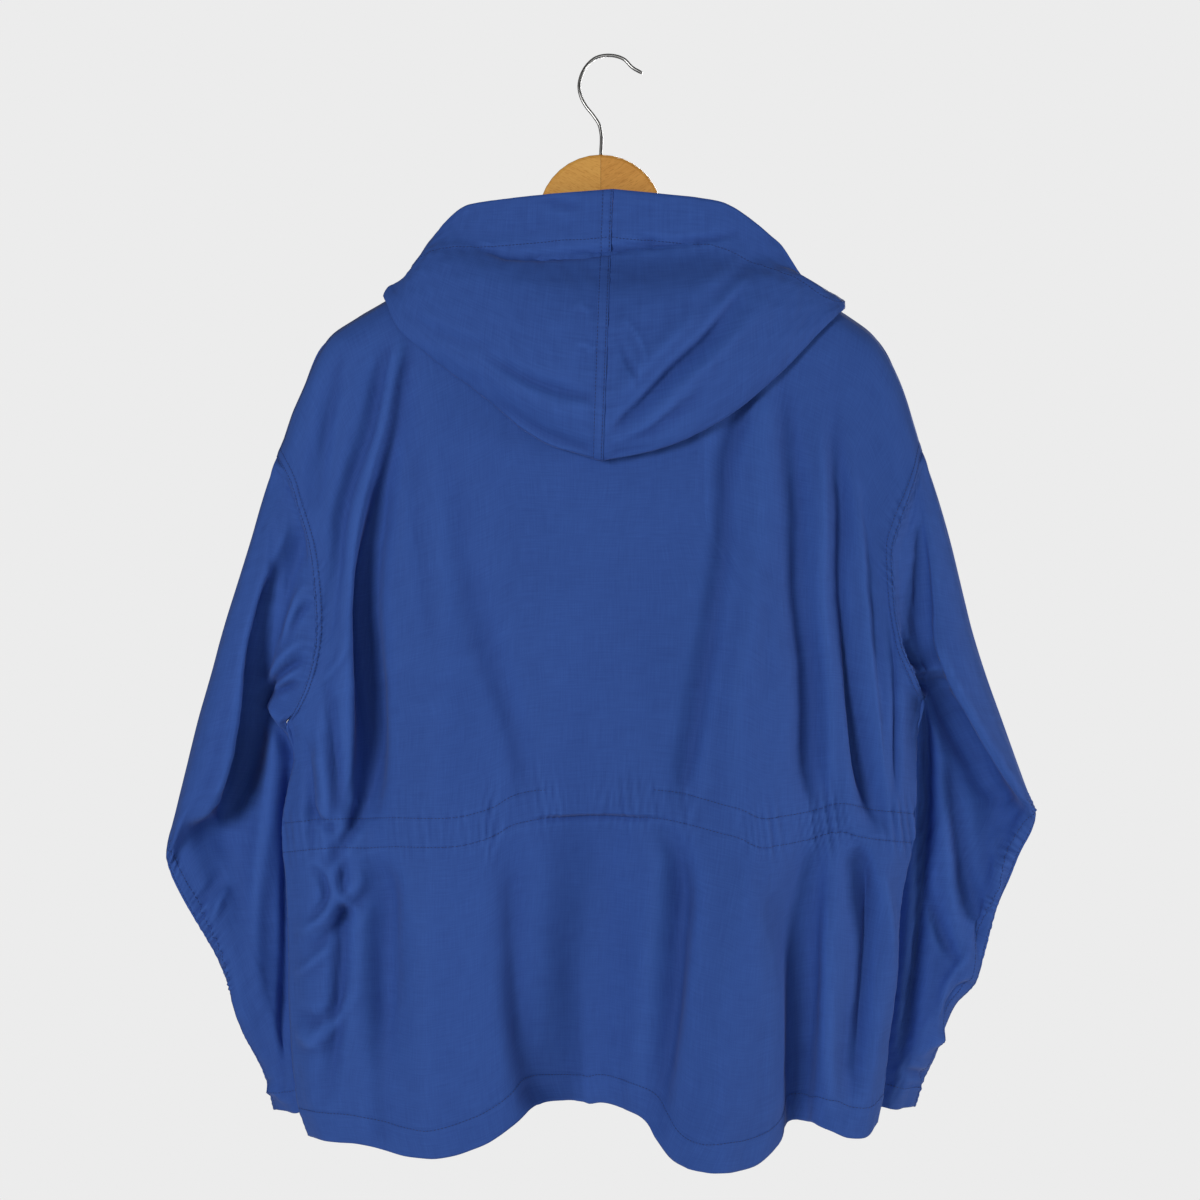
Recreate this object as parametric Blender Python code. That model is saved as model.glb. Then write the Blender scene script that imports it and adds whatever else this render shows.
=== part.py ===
"""Anorak pullover hanging on a wooden hanger.

Lengths are in millimetres until a mesh is finished, when MM turns them to metres.
+X is the wearer's left, +Y the back of the garment and +Z up. The origin is the
inner crown of the hook, where the hanger rests on whatever holds it.

The outlines of the back are drawn square-on in the hanger's plane, as they look from
the eye point behind the garment. A point of cloth that stands out of that plane keeps
its line of sight, so the drawn outline and the depth together give its real place.
"""

import math

import bmesh
import bpy
from mathutils import Vector

MM = 0.001

# Driving dimensions, in millimetres.
CLOTH = 1.3
SEAM_GAP = 0.3
CORNER_GAP = 0.4
WEDGE_LEAST = 0.5
WEDGE_SHARE = 0.6
CASING_WIDTH = 25.0
CASING_CLOTH = 1.0
EYE = Vector((7.2, 1150.0, -467.0))
STEM_X = 6.5
RIDGE_RADIUS = 22.0
SIDE_RADIUS = 60.0
SHOULDER_ROW = 6.5
NECK_SLIT_BOTTOM = -395.0
NECK_SLIT_TOP_WIDTH = 5.0
NECK_SLIT_BOTTOM_WIDTH = 1.2
HANGER_THICKNESS = 11.0
HANGER_EDGE = 3.5
HANGER_REACH = 217.0
HANGER_ROOF_GAP = 6.5
HANGER_DOME_RADIUS = 53.7
HANGER_DOME_TOP = -84.6
HANGER_DOME_SWEEP = 82.0
HANGER_END_RADIUS = 13.0
HANGER_ARC_STEPS = 8
WIRE_DIAMETER = 2.8

# Grid sizes: columns over a shoulder and the neck, rows from the hem to the shoulder.
BACK_SHOULDER_COLUMNS = 12
BACK_NECK_SHARES = [0.0, 0.03, 0.1, 0.2, 0.3, 0.4, 0.5, 0.6, 0.7, 0.8, 0.9, 0.97, 1.0]
FRONT_SHOULDER_COLUMNS = 8
FRONT_NECK_SHARES = [0.0, 0.03, 0.13, 0.29, 0.44, 0.56, 0.71, 0.87, 0.97, 1.0]
SKIRT_ROWS = 9
WAIST_ROWS = 3
ARMHOLE_FRACTIONS = [0.0, 0.03, 0.1, 0.2, 0.3, 0.4, 0.5, 0.6, 0.7, 0.8, 0.89, 0.96, 1.0]
NECK_TURN_COLUMNS = 5

BLUE = (0.028, 0.068, 0.245)
BEECH = (0.50, 0.24, 0.065)
STEEL = (0.60, 0.60, 0.61)
COTTON_ROUGHNESS = 0.85
BEECH_ROUGHNESS = 0.45
STEEL_ROUGHNESS = 0.25

# Corners closer than this are one corner.
SAME_PLACE = 0.01
# Sharpest mitre between two pieces, and the most that a mitre or a slant may lengthen a step.
MITRE_LEAST = 0.4
MITRE_MOST = 2.0
SLANT_MOST = 3.0

# Shoulder, from the neck point to the top of the armhole: x, z.
SHOULDER = {
    "left": [
        (101.8, -161.7), (225.7, -230.5), (237.7, -239.1), (245.6, -247.7), (250.6, -256.3),
        (257.5, -273.5), (265.2, -290.7), (272.1, -307.9), (278.1, -325.1), (285.0, -344.0),
    ],
    "right": [
        (-89.1, -159.6), (-217.2, -230.5), (-227.6, -239.1), (-234.5, -247.7), (-239.6, -256.3),
        (-248.2, -273.5), (-255.1, -290.7), (-260.2, -307.9), (-265.4, -325.1), (-269.7, -338.8),
    ],
}

# Armhole seam, from the underarm to the shoulder: x, z.
ARMHOLE = {
    "left": [
        (276.4, -571.9), (267.8, -558.1), (259.2, -535.8), (253.2, -515.1), (251.5, -487.6),
        (253.2, -458.4), (257.5, -422.3), (266.9, -389.6), (273.0, -368.1), (285.0, -344.0),
    ],
    "right": [
        (-271.4, -550.4), (-265.4, -534.9), (-255.9, -515.1), (-249.9, -492.8), (-246.5, -469.6),
        (-244.8, -442.0), (-244.8, -422.3), (-249.9, -405.1), (-264.5, -362.1), (-269.7, -338.8),
    ],
}

# Side seam, from the hem to the underarm: x, z.
SIDE = {
    "left": [
        (257.5, -927.0), (262.0, -911.0), (267.0, -900.0), (274.7, -802.0), (275.5, -751.0),
        (278.1, -699.0), (280.7, -660.0), (276.4, -635.0), (274.7, -622.0), (270.0, -597.0),
        (276.4, -571.9),
    ],
    "right": [
        (-231.5, -916.0), (-235.3, -901.0), (-240.5, -854.0), (-246.5, -777.0), (-253.4, -716.0),
        (-262.0, -678.0), (-264.5, -648.0), (-265.4, -596.0), (-267.1, -566.0), (-271.4, -550.4),
    ],
}

# Outer edge of a sleeve, from the top of the armhole to the cuff: x, z.
SLEEVE_EDGE = {
    "left": [
        (285.0, -344.0), (296.2, -376.7), (307.4, -415.4), (319.4, -454.1), (331.4, -492.8),
        (341.8, -531.5), (352.9, -570.2), (362.4, -608.9), (371.9, -647.6), (377.9, -673.4),
        (379.6, -686.3), (377.0, -699.2), (365.0, -725.0), (349.5, -750.8), (334.9, -776.6),
        (324.6, -802.4), (315.1, -828.2), (303.9, -854.0), (293.6, -879.8), (286.8, -904.7),
    ],
    "right": [
        (-269.7, -338.8), (-282.6, -376.7), (-293.8, -415.4), (-303.2, -454.1), (-312.7, -492.8),
        (-324.7, -531.5), (-338.5, -570.2), (-352.3, -608.9), (-362.6, -637.3), (-366.9, -650.2),
        (-365.2, -660.5), (-358.3, -673.4), (-348.0, -699.2), (-335.9, -725.0), (-328.2, -750.8),
        (-321.3, -776.6), (-311.8, -802.4), (-298.9, -813.6), (-291.2, -828.2), (-282.6, -854.0),
        (-270.6, -879.8), (-263.0, -902.0),
    ],
}

# Neck seam from the left neck point to the right one: x, z.
BACK_NECK = [
    (101.8, -161.7), (85.0, -167.5), (55.0, -173.0), (6.5, -176.3), (-42.0, -173.0),
    (-72.0, -166.5), (-89.1, -159.6),
]
FRONT_NECK = [
    (101.8, -161.7), (94.0, -186.0), (75.0, -214.0), (45.0, -234.0), (6.5, -243.0),
    (-32.0, -234.0), (-62.0, -213.0), (-81.0, -185.0), (-89.1, -159.6),
]

# Hem of the back, which dips where the cloth swings out towards the eye: x, z.
BACK_HEM = [
    (257.5, -927.0), (251.5, -930.5), (210.0, -935.7), (169.0, -946.0), (148.0, -947.7),
    (128.0, -943.4), (107.0, -935.7), (86.0, -922.8), (66.0, -906.4), (45.0, -897.8),
    (24.0, -894.4), (4.0, -896.1), (-17.0, -905.6), (-27.0, -912.5), (-37.5, -925.4),
    (-48.0, -942.6), (-68.5, -955.5), (-89.0, -961.5), (-110.0, -958.9), (-130.0, -947.7),
    (-141.0, -930.5), (-151.0, -915.0), (-161.0, -914.2), (-182.0, -920.2), (-203.0, -928.8),
    (-213.0, -931.4), (-223.0, -927.0), (-231.5, -916.0),
]
FRONT_HEM = [
    (257.5, -927.0), (230.0, -924.0), (170.0, -921.0), (98.0, -914.0), (8.0, -910.0),
    (-96.0, -914.0), (-170.0, -920.0), (-210.0, -921.0), (-231.5, -916.0),
]

# Lower stitch row of the waist casing: x, z.
BACK_CASING = [
    (279.1, -684.0), (248.0, -681.0), (187.0, -679.5), (143.0, -680.0), (106.0, -673.5),
    (80.0, -660.5), (51.0, -654.5), (7.0, -652.7), (-33.0, -655.3), (-59.0, -663.0),
    (-81.0, -673.5), (-125.0, -680.3), (-162.0, -675.0), (-195.0, -667.0), (-225.0, -672.0),
    (-262.2, -676.0),
]
FRONT_CASING = [(279.1, -684.0), (170.0, -677.0), (8.0, -672.0), (-160.0, -674.0), (-262.2, -676.0)]

# Depth of the hollow on each side of the hanger's plane: z, depth.
BACK_DEPTH = [
    (-960.0, 35.0), (-800.0, 31.0), (-680.0, 28.0), (-600.0, 27.0), (-500.0, 25.0),
    (-400.0, 22.0), (-300.0, 18.0), (-220.0, 17.0), (-176.0, 20.0), (-150.0, 18.0),
]
FRONT_DEPTH = [
    (-930.0, 62.0), (-800.0, 52.0), (-680.0, 44.0), (-600.0, 42.0), (-500.0, 38.0),
    (-400.0, 36.0), (-300.0, 34.0), (-243.0, 34.0), (-200.0, 22.0), (-160.0, 15.0),
]
FRONT_EDGE_DEPTH = [(-930.0, 5.0), (-600.0, 5.0), (-530.0, 10.0), (-450.0, 15.0), (-340.0, 15.0)]
FRONT_EDGE_RADIUS = 10.0
FRONT_SWELL_REACH = 110.0

# Folds of each panel: z, x of the fold's line, half width, height (a valley is below 0).
BACK_FOLDS = {
    "left armpit valley": [
        (-330.0, 190.0, 10.0, 0.0), (-400.0, 203.0, 12.0, -7.0), (-476.0, 212.0, 13.0, -15.0),
        (-560.0, 211.0, 15.0, -20.0), (-620.0, 212.0, 16.0, -18.0), (-680.0, 208.0, 17.0, -11.0),
        (-780.0, 199.0, 19.0, -9.0), (-890.0, 196.0, 19.0, 0.0),
    ],
    "left armpit ridge": [
        (-400.0, 216.0, 8.0, 0.0), (-470.0, 227.0, 8.0, 6.0), (-540.0, 227.0, 9.0, 7.0),
        (-600.0, 232.0, 9.0, 3.0), (-640.0, 235.0, 9.0, 0.0),
    ],
    "left blade ridge": [
        (-400.0, 155.0, 30.0, 0.0), (-520.0, 152.0, 34.0, 5.0), (-650.0, 150.0, 34.0, 9.0),
        (-800.0, 148.0, 34.0, 8.0), (-970.0, 148.0, 34.0, 6.0),
    ],
    "left blade valley": [
        (-360.0, 110.0, 24.0, 0.0), (-430.0, 108.0, 26.0, -5.0), (-520.0, 95.0, 26.0, -6.0),
        (-600.0, 84.0, 24.0, 0.0),
    ],
    "centre valley": [
        (-360.0, 10.0, 34.0, 0.0), (-480.0, 12.0, 38.0, -3.0), (-600.0, 12.0, 42.0, -12.0),
        (-690.0, 14.0, 42.0, -32.0), (-800.0, 18.0, 40.0, -52.0), (-970.0, 18.0, 38.0, -77.0),
    ],
    "right blade valley": [
        (-370.0, -70.0, 20.0, 0.0), (-460.0, -62.0, 20.0, -5.0), (-560.0, -48.0, 20.0, -6.0),
        (-640.0, -38.0, 20.0, 0.0),
    ],
    "right blade ridge": [
        (-400.0, -120.0, 30.0, 0.0), (-520.0, -122.0, 32.0, 7.0), (-680.0, -116.0, 34.0, 13.0),
        (-800.0, -98.0, 34.0, 26.0), (-970.0, -90.0, 32.0, 36.0),
    ],
    "right flank valley": [
        (-400.0, -172.0, 18.0, 0.0), (-520.0, -180.0, 18.0, -7.0), (-640.0, -180.0, 18.0, -8.0),
        (-760.0, -160.0, 18.0, -20.0), (-860.0, -156.0, 17.0, -34.0), (-970.0, -158.0, 17.0, -46.0),
    ],
    "right armpit valley": [
        (-330.0, -212.0, 10.0, 0.0), (-420.0, -222.0, 12.0, -8.0), (-520.0, -228.0, 12.0, -13.0),
        (-610.0, -232.0, 12.0, -12.0), (-690.0, -226.0, 12.0, 0.0),
    ],
    "right skirt valley": [
        (-640.0, -216.0, 13.0, 0.0), (-720.0, -208.0, 14.0, -9.0), (-860.0, -205.0, 14.0, -8.0),
        (-910.0, -205.0, 14.0, 0.0),
    ],
}
# Grid columns of the back that follow a fold.
BACK_LEADS = {
    "left armpit valley": 4, "centre valley": 18, "right blade ridge": 24,
    "right flank valley": 30, "right skirt valley": 33, "right armpit valley": 34,
}
LEAD_REACH = 3
LEAD_FADE = 70.0
FRONT_FOLDS = {
    "centre ridge": [
        (-420.0, 8.0, 45.0, 0.0), (-600.0, 8.0, 50.0, 8.0), (-760.0, 10.0, 50.0, 18.0),
        (-930.0, 14.0, 50.0, 26.0),
    ],
    "left chest valley": [
        (-380.0, 95.0, 26.0, 0.0), (-520.0, 98.0, 28.0, -8.0), (-700.0, 100.0, 28.0, -12.0),
        (-930.0, 98.0, 28.0, -20.0),
    ],
    "right chest valley": [
        (-360.0, -85.0, 26.0, 0.0), (-500.0, -88.0, 26.0, -7.0), (-700.0, -92.0, 28.0, -14.0),
        (-930.0, -96.0, 28.0, -18.0),
    ],
    "left flank ridge": [
        (-450.0, 165.0, 28.0, 0.0), (-620.0, 165.0, 30.0, 6.0), (-800.0, 168.0, 30.0, 12.0),
        (-930.0, 170.0, 30.0, 14.0),
    ],
    "right flank ridge": [
        (-430.0, -150.0, 28.0, 0.0), (-600.0, -152.0, 28.0, 6.0), (-780.0, -158.0, 28.0, 11.0),
        (-930.0, -160.0, 28.0, 13.0),
    ],
    "left armpit valley": [
        (-350.0, 205.0, 12.0, 0.0), (-460.0, 212.0, 12.0, -8.0), (-560.0, 214.0, 13.0, -10.0),
        (-660.0, 212.0, 14.0, -4.0), (-720.0, 210.0, 14.0, 0.0),
    ],
    "right armpit valley": [
        (-340.0, -205.0, 12.0, 0.0), (-440.0, -213.0, 12.0, -8.0), (-540.0, -216.0, 13.0, -10.0),
        (-640.0, -212.0, 14.0, -4.0), (-700.0, -208.0, 14.0, 0.0),
    ],
}

# Sleeve sections. A section lies at the share v of the outer edge's length. Its back half
# has a band that stands out beside the outer edge, with a crest and a lip, and beyond the
# lip the cloth drops to a floor and swells again before the inner edge.
# Columns: v, lip x, lip z, bow of the band, y of edge, crest, lip, floor, swell, front bulge.
SLEEVE_SECTIONS = {
    "left": [
        (0.000, 285.0, -344.0, 0.0, 0.0, 0.0, 0.0, 0.0, 0.0, 0.0),
        (0.016, 281.0, -350.5, 0.0, 0.0, 6.5, 9.0, 10.0, 12.0, 5.0),
        (0.060, 280.0, -371.0, 0.0, -1.0, 11.0, 14.0, 15.0, 16.0, 12.0),
        (0.127, 291.0, -408.0, 0.0, -2.0, 15.0, 18.0, 17.0, 18.0, 24.0),
        (0.196, 297.0, -447.0, 0.0, -3.0, 18.0, 20.0, 16.0, 19.0, 34.0),
        (0.264, 305.0, -488.0, 0.0, -5.0, 20.0, 20.0, 11.0, 19.0, 42.0),
        (0.332, 313.0, -527.0, 0.0, -7.0, 21.0, 18.0, 2.0, 11.0, 48.0),
        (0.400, 320.0, -560.0, 0.0, -9.0, 22.0, 15.0, -14.0, -6.0, 50.0),
        (0.468, 327.0, -597.0, 0.0, -11.0, 20.0, 12.0, -26.0, -17.0, 48.0),
        (0.535, 336.0, -628.0, 3.0, -13.0, 13.0, 9.0, -32.0, -25.0, 44.0),
        (0.602, 346.0, -649.0, 11.0, -15.0, 3.0, 3.0, -35.0, -28.0, 40.0),
        (0.622, 346.0, -661.0, 8.0, -17.0, -15.0, -26.0, -35.0, -28.0, 40.0),
        (0.673, 338.0, -697.0, 4.0, -20.0, -19.0, -25.0, -29.0, -28.0, 38.0),
        (0.724, 326.0, -727.0, 0.0, -24.0, -17.0, -21.0, -25.0, -28.0, 36.0),
        (0.821, 303.0, -785.0, 0.0, -32.0, -19.0, -20.0, -23.0, -30.0, 38.0),
        (0.915, 284.0, -843.0, 0.0, -48.0, -30.0, -27.0, -29.0, -38.0, 46.0),
        (1.000, 268.0, -908.0, 0.0, -70.0, -48.0, -40.0, -38.0, -46.0, 54.0),
    ],
    "right": [
        (0.000, -269.7, -338.8, 0.0, 0.0, 0.0, 0.0, 0.0, 0.0, 0.0),
        (0.015, -269.0, -345.0, 0.0, 0.0, 6.5, 9.0, 10.0, 12.0, 5.0),
        (0.067, -268.0, -368.0, 0.0, -1.0, 11.0, 14.0, 15.0, 16.0, 12.0),
        (0.134, -273.0, -408.0, 0.0, -2.0, 16.0, 18.0, 16.0, 17.0, 24.0),
        (0.200, -276.0, -447.0, 0.0, -3.0, 19.0, 20.0, 16.0, 19.0, 34.0),
        (0.267, -279.0, -487.0, 0.0, -5.0, 21.0, 20.0, 13.0, 18.0, 42.0),
        (0.334, -284.0, -526.0, 0.0, -7.0, 22.0, 19.0, 6.0, 10.0, 48.0),
        (0.370, -287.0, -548.0, 0.0, -8.0, 21.0, 16.0, -6.0, -3.0, 50.0),
        (0.403, -297.0, -563.0, 0.0, -9.0, 20.0, 15.0, -18.0, -14.0, 50.0),
        (0.435, -311.0, -581.0, 0.0, -10.0, 18.0, 13.0, -27.0, -21.0, 48.0),
        (0.471, -324.7, -599.4, 0.0, -11.0, 15.0, 11.0, -32.0, -26.0, 46.0),
        (0.508, -337.0, -622.0, 0.0, -12.0, 10.0, 8.0, -34.0, -28.0, 43.0),
        (0.544, -354.0, -639.0, 2.0, -14.0, 3.0, 4.0, -34.0, -29.0, 40.0),
        (0.564, -350.0, -651.0, 2.0, -16.0, -12.0, -23.0, -34.0, -29.0, 40.0),
        (0.632, -330.0, -690.0, 0.0, -20.0, -19.0, -25.0, -29.0, -28.0, 38.0),
        (0.725, -308.0, -746.0, 0.0, -26.0, -18.0, -22.0, -25.0, -29.0, 36.0),
        (0.815, -292.0, -799.0, 0.0, -33.0, -20.0, -22.0, -25.0, -31.0, 38.0),
        (0.916, -266.0, -850.0, 0.0, -50.0, -31.0, -28.0, -30.0, -39.0, 46.0),
        (1.000, -246.0, -905.0, 0.0, -70.0, -48.0, -40.0, -38.0, -46.0, 54.0),
    ],
}
# Places of a back half's columns: share of the band, then share of the way from lip to seam.
BAND_COLUMNS = [0.0, 0.18, 0.55, 1.0]
HOLLOW_COLUMNS = [0.16, 0.36, 0.58, 0.80, 1.0]
BAND_RISE = 0.72
# In the hollow of the sleeve: share of the swell near the band, and far from it.
HOLLOW_NEAR = 0.5
HOLLOW_FAR = 0.6
FRONT_HALF_COLUMNS = [0.0, 0.10, 0.30, 0.50, 0.70, 0.90, 1.0]
SLEEVE_TIP_CLOTH = 0.9
UNDERARM_SHARE = {"left": 0.400, "right": 0.370}
ELBOW_SHARE = {"left": 0.602, "right": 0.544}
ELBOW_STEP = 0.020
# Inward step at the underarm: sideways, up, and its length in cloths.
UNDERARM_WAY = (0.6, 0.8)
UNDERARM_STEP = 1.4
ELBOW_ROWS = 6
FOREARM_ROWS = 11

# Underarm seam from the underarm to the cuff, which passes before the side seam: v, x, z, y.
UNDERARM = {
    "left": [
        (0.400, 276.4, -571.9, 0.0), (0.435, 266.0, -588.0, -19.0), (0.468, 262.0, -606.0, -29.0),
        (0.535, 257.0, -636.0, -38.0), (0.602, 254.0, -657.0, -41.0), (0.673, 252.0, -694.0, -44.0),
        (0.724, 251.0, -722.0, -47.0), (0.821, 250.0, -790.0, -54.0), (0.915, 246.0, -850.0, -66.0),
        (1.000, 231.0, -900.0, -80.0),
    ],
    "right": [
        (0.370, -271.4, -550.4, 0.0), (0.403, -261.0, -568.0, -19.0), (0.435, -257.0, -586.0, -29.0),
        (0.508, -250.0, -622.0, -39.0), (0.552, -246.0, -648.0, -42.0), (0.632, -240.0, -694.0, -45.0),
        (0.725, -234.0, -748.0, -49.0), (0.815, -229.0, -800.0, -55.0), (0.916, -222.0, -852.0, -67.0),
        (1.000, -208.0, -897.0, -80.0),
    ],
}

# Hood sections from the centre back (w = 0) round the side to the centre front (w = 1).
# The cloth rises from the neck seam, turns over, hangs to the fold and comes up to the rim.
# Columns: w, fold x, z, y, rim x, z, y, puff of the outer layer, roll under the rim.
HOOD_SECTIONS = {
    "left": [
        (0.00, 4.6, -347.0, 33.0, -4.0, -113.5, 40.0, 17.0, 9.0),
        (0.17, 54.5, -332.0, 32.0, 41.6, -117.0, 39.0, 17.0, 8.0),
        (0.35, 110.4, -290.0, 28.0, 89.0, -122.0, 33.0, 15.0, 5.0),
        (0.52, 162.0, -251.0, 22.0, 122.5, -128.0, 24.0, 11.0, 1.0),
        (0.66, 188.5, -223.5, 19.0, 139.7, -142.0, 15.0, 5.0, 0.0),
        (0.705, 191.0, -216.0, 15.0, 144.0, -147.0, 11.0, 2.0, 0.0),
        (0.75, 193.8, -208.5, 0.0, 147.4, -152.2, -2.0, -4.0, 0.0),
        (0.82, 184.0, -224.0, -27.0, 141.0, -163.0, -24.0, 4.0, 0.0),
        (0.90, 118.0, -262.0, -46.0, 101.0, -190.0, -49.0, 8.0, 0.0),
        (1.00, 10.5, -272.0, -52.0, 11.0, -205.0, -58.0, 4.0, 0.0),
    ],
    "right": [
        (0.00, 4.6, -347.0, 33.0, -4.0, -113.5, 40.0, 17.0, 9.0),
        (0.17, -44.4, -337.0, 32.0, -40.0, -117.0, 39.0, 18.0, 8.0),
        (0.35, -102.0, -309.6, 28.0, -94.3, -123.8, 33.0, 17.0, 4.0),
        (0.52, -156.2, -264.0, 23.0, -133.8, -148.8, 24.0, 13.0, 1.0),
        (0.66, -188.0, -231.5, 20.0, -157.9, -173.7, 15.0, 8.0, 0.0),
        (0.705, -198.0, -225.0, 15.0, -164.0, -186.0, 14.0, 7.0, 0.0),
        (0.75, -203.5, -216.5, 0.0, -169.0, -197.0, -3.0, 6.0, 0.0),
        (0.82, -186.0, -226.0, -27.0, -151.0, -189.0, -26.0, 6.0, 0.0),
        (0.90, -106.0, -262.0, -46.0, -94.0, -196.0, -49.0, 8.0, 0.0),
        (1.00, 2.5, -272.0, -52.0, 2.0, -205.0, -58.0, 4.0, 0.0),
    ],
}
HOOD_SIDE_SHARE = 0.75
HOOD_BACK_SPLIT = 2
HOOD_SPLIT_ABOVE = 0.12
FRONT_SLIT_SHARE = 0.44
HOOD_CREST = 9.0
HOOD_CLEARANCE = 2.0
HOOD_SIDE_CLEARANCE = 3.4
HOOD_FRONT_EXTRA = 1.5
HOOD_TURN_SHARE = 0.85
HOOD_CLOTH = 1.0
HOOD_LAID_SHARE = 0.86
HOOD_LAYERS = 6.0
# Sideways part of the way that the hood's cloth turns out, and the power of its rise at the front.
HOOD_SIDEWAYS = 0.5
HOOD_FRONT_RISE_POWER = 4
# Shares of the neck line between which the hood goes over from the back to the side.
HOOD_TO_SIDE = (0.4, 0.6)
# Steps of the crest: in from it before the top, and out and down after it.
HOOD_CREST_INWARD = 2.0
HOOD_CREST_STEP = 2.5
# Shares of the way from the crest down to the fold.
HOOD_DROP = (0.42, 0.80)
# Share of the way from the fold up to the rim, and share of the puff there.
HOOD_RISE = [(0.08, 0.6), (0.30, 1.0), (0.60, 0.8)]
HOOD_ROLL_SHARE = 0.78
# Rows between which the hood lies on the panels, and the row where its doubled part starts.
HOOD_LAID_ROWS = (3.2, 5.2)
HOOD_DOUBLED_ROW = 6.2
# Places of the rows along a hood section, counted in its key points.
HOOD_ROWS = [0.0, 1.0, 2.0, 3.0, 3.5, 4.0, 5.0, 6.0, 7.0, 7.5, 8.0, 9.0, 10.0, 11.0]

# Hook wire, from the wood round to the flicked tip: x, z.
HOOK_LINE = [
    (6.5, -84.2), (6.5, -64.3), (7.9, -58.5), (12.8, -50.6), (19.8, -41.6), (23.7, -33.8),
    (25.2, -25.4), (23.7, -16.9), (18.7, -7.6), (11.0, -0.9), (0.0, 1.4), (-13.3, -1.9),
    (-20.7, -9.1), (-29.2, -14.0),
]
HOOK_STEPS = 44

# The hanger's neck, below the dome: reach, height above the arm.
HANGER_NECK = [(55.5, 4.0), (63.0, 0.0)]
# The underside of the arm: reach, depth of the arm there.
HANGER_ARM_DEPTH = [(130.0, 36.0), (80.0, 40.0)]
# The underside of the head: reach, z.
HANGER_HEAD_BOTTOM = [(45.0, -179.0), (20.0, -171.0), (0.0, -168.5)]


def remove_scene_objects():
    """Empties the scene before the model is made."""
    for item in list(bpy.data.objects):
        bpy.data.objects.remove(item, do_unlink=True)


def smooth(knots, values, at):
    """Value at a place on a smooth curve through a table, with no overshoot at its rows."""
    if at <= knots[0]:
        return values[0]
    if at >= knots[-1]:
        return values[-1]
    steps = [b - a for a, b in zip(knots, knots[1:])]
    rates = [(b - a) / step for a, b, step in zip(values, values[1:], steps)]
    slopes = [rates[0]]
    for index in range(1, len(rates)):
        before, after = rates[index - 1], rates[index]
        if before * after <= 0.0:
            slopes.append(0.0)
            continue
        long_after = 2.0 * steps[index] + steps[index - 1]
        long_before = steps[index] + 2.0 * steps[index - 1]
        slopes.append((long_after + long_before) / (long_after / before + long_before / after))
    slopes.append(rates[-1])
    index = 0
    while at > knots[index + 1]:
        index += 1
    step = steps[index]
    t = (at - knots[index]) / step
    start = values[index] * (1 + 2 * t) * (1 - t) ** 2 + slopes[index] * step * t * (1 - t) ** 2
    end = values[index + 1] * t * t * (3 - 2 * t) + slopes[index + 1] * step * t * t * (t - 1)
    return start + end


def column(table, knot, value, at):
    """Smooth value of one column of a table where another column has a given value."""
    rows = sorted(table, key=lambda row: row[knot])
    return smooth([row[knot] for row in rows], [row[value] for row in rows], at)


def along(points, share):
    """Point at a share of a curve's length through points of any dimension."""
    lengths = [0.0]
    for start, end in zip(points, points[1:]):
        lengths.append(lengths[-1] + math.dist(start, end))
    at = share * lengths[-1]
    return tuple(smooth(lengths, [point[axis] for point in points], at) for axis in range(len(points[0])))


def rounded(share):
    """Rise of a quarter ellipse from 0 at an edge to 1 inside."""
    inside = min(max(share, 0.0), 1.0)
    return math.sqrt(1.0 - (1.0 - inside) ** 2)


def eased(share):
    """Rise with level ends from 0 to 1."""
    inside = min(max(share, 0.0), 1.0)
    return inside * inside * (3.0 - 2.0 * inside)


def bowed(share):
    """A bow that is 1 halfway and 0 at both ends."""
    return 4.0 * share * (1.0 - share)


def mixed(start, end, share):
    """Point between two points."""
    return tuple(a + (b - a) * share for a, b in zip(start, end))


def distance_to(line, x, z):
    """Distance of a point of the outline plane from a line of points."""
    nearest = math.inf
    for (ax, az), (bx, bz) in zip(line, line[1:]):
        span = (bx - ax) ** 2 + (bz - az) ** 2
        share = min(max(((x - ax) * (bx - ax) + (z - az) * (bz - az)) / span, 0.0), 1.0)
        nearest = min(nearest, math.hypot(x - ax - share * (bx - ax), z - az - share * (bz - az)))
    return nearest


def ridge_line(side):
    """Line where the cloth turns from back to front: over the hanger and down the sleeve.

    It starts over the stem, where the two shoulder lines would meet.
    """
    neck, tip = SHOULDER[side][0], SHOULDER[side][1]
    slope = (tip[1] - neck[1]) / (tip[0] - neck[0])
    crown = (STEM_X, neck[1] - slope * (neck[0] - STEM_X))
    return [crown] + SHOULDER[side] + SLEEVE_EDGE[side][1:]


RIDGE = {side: ridge_line(side) for side in ("left", "right")}


def side_of(x):
    """Name of the side that a point lies on."""
    return "left" if x > STEM_X else "right"


def fold_height(folds, x, z):
    """Sum of the folds at a point of a panel."""
    height = 0.0
    for rows in folds.values():
        if rows[0][0] >= z >= rows[-1][0]:
            centre = column(rows, 0, 1, z)
            width = column(rows, 0, 2, z)
            height += column(rows, 0, 3, z) * math.exp(-(((x - centre) / width) ** 2))
    return height


def back_depth(x, z):
    """Depth of the back panel at a point of the outline plane."""
    side = side_of(x)
    over_ridge = rounded(distance_to(RIDGE[side], x, z) / RIDGE_RADIUS)
    from_side = rounded(distance_to(SIDE[side], x, z) / SIDE_RADIUS)
    depth = column(BACK_DEPTH, 0, 1, z) + fold_height(BACK_FOLDS, x, z)
    return depth * over_ridge * from_side


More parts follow.
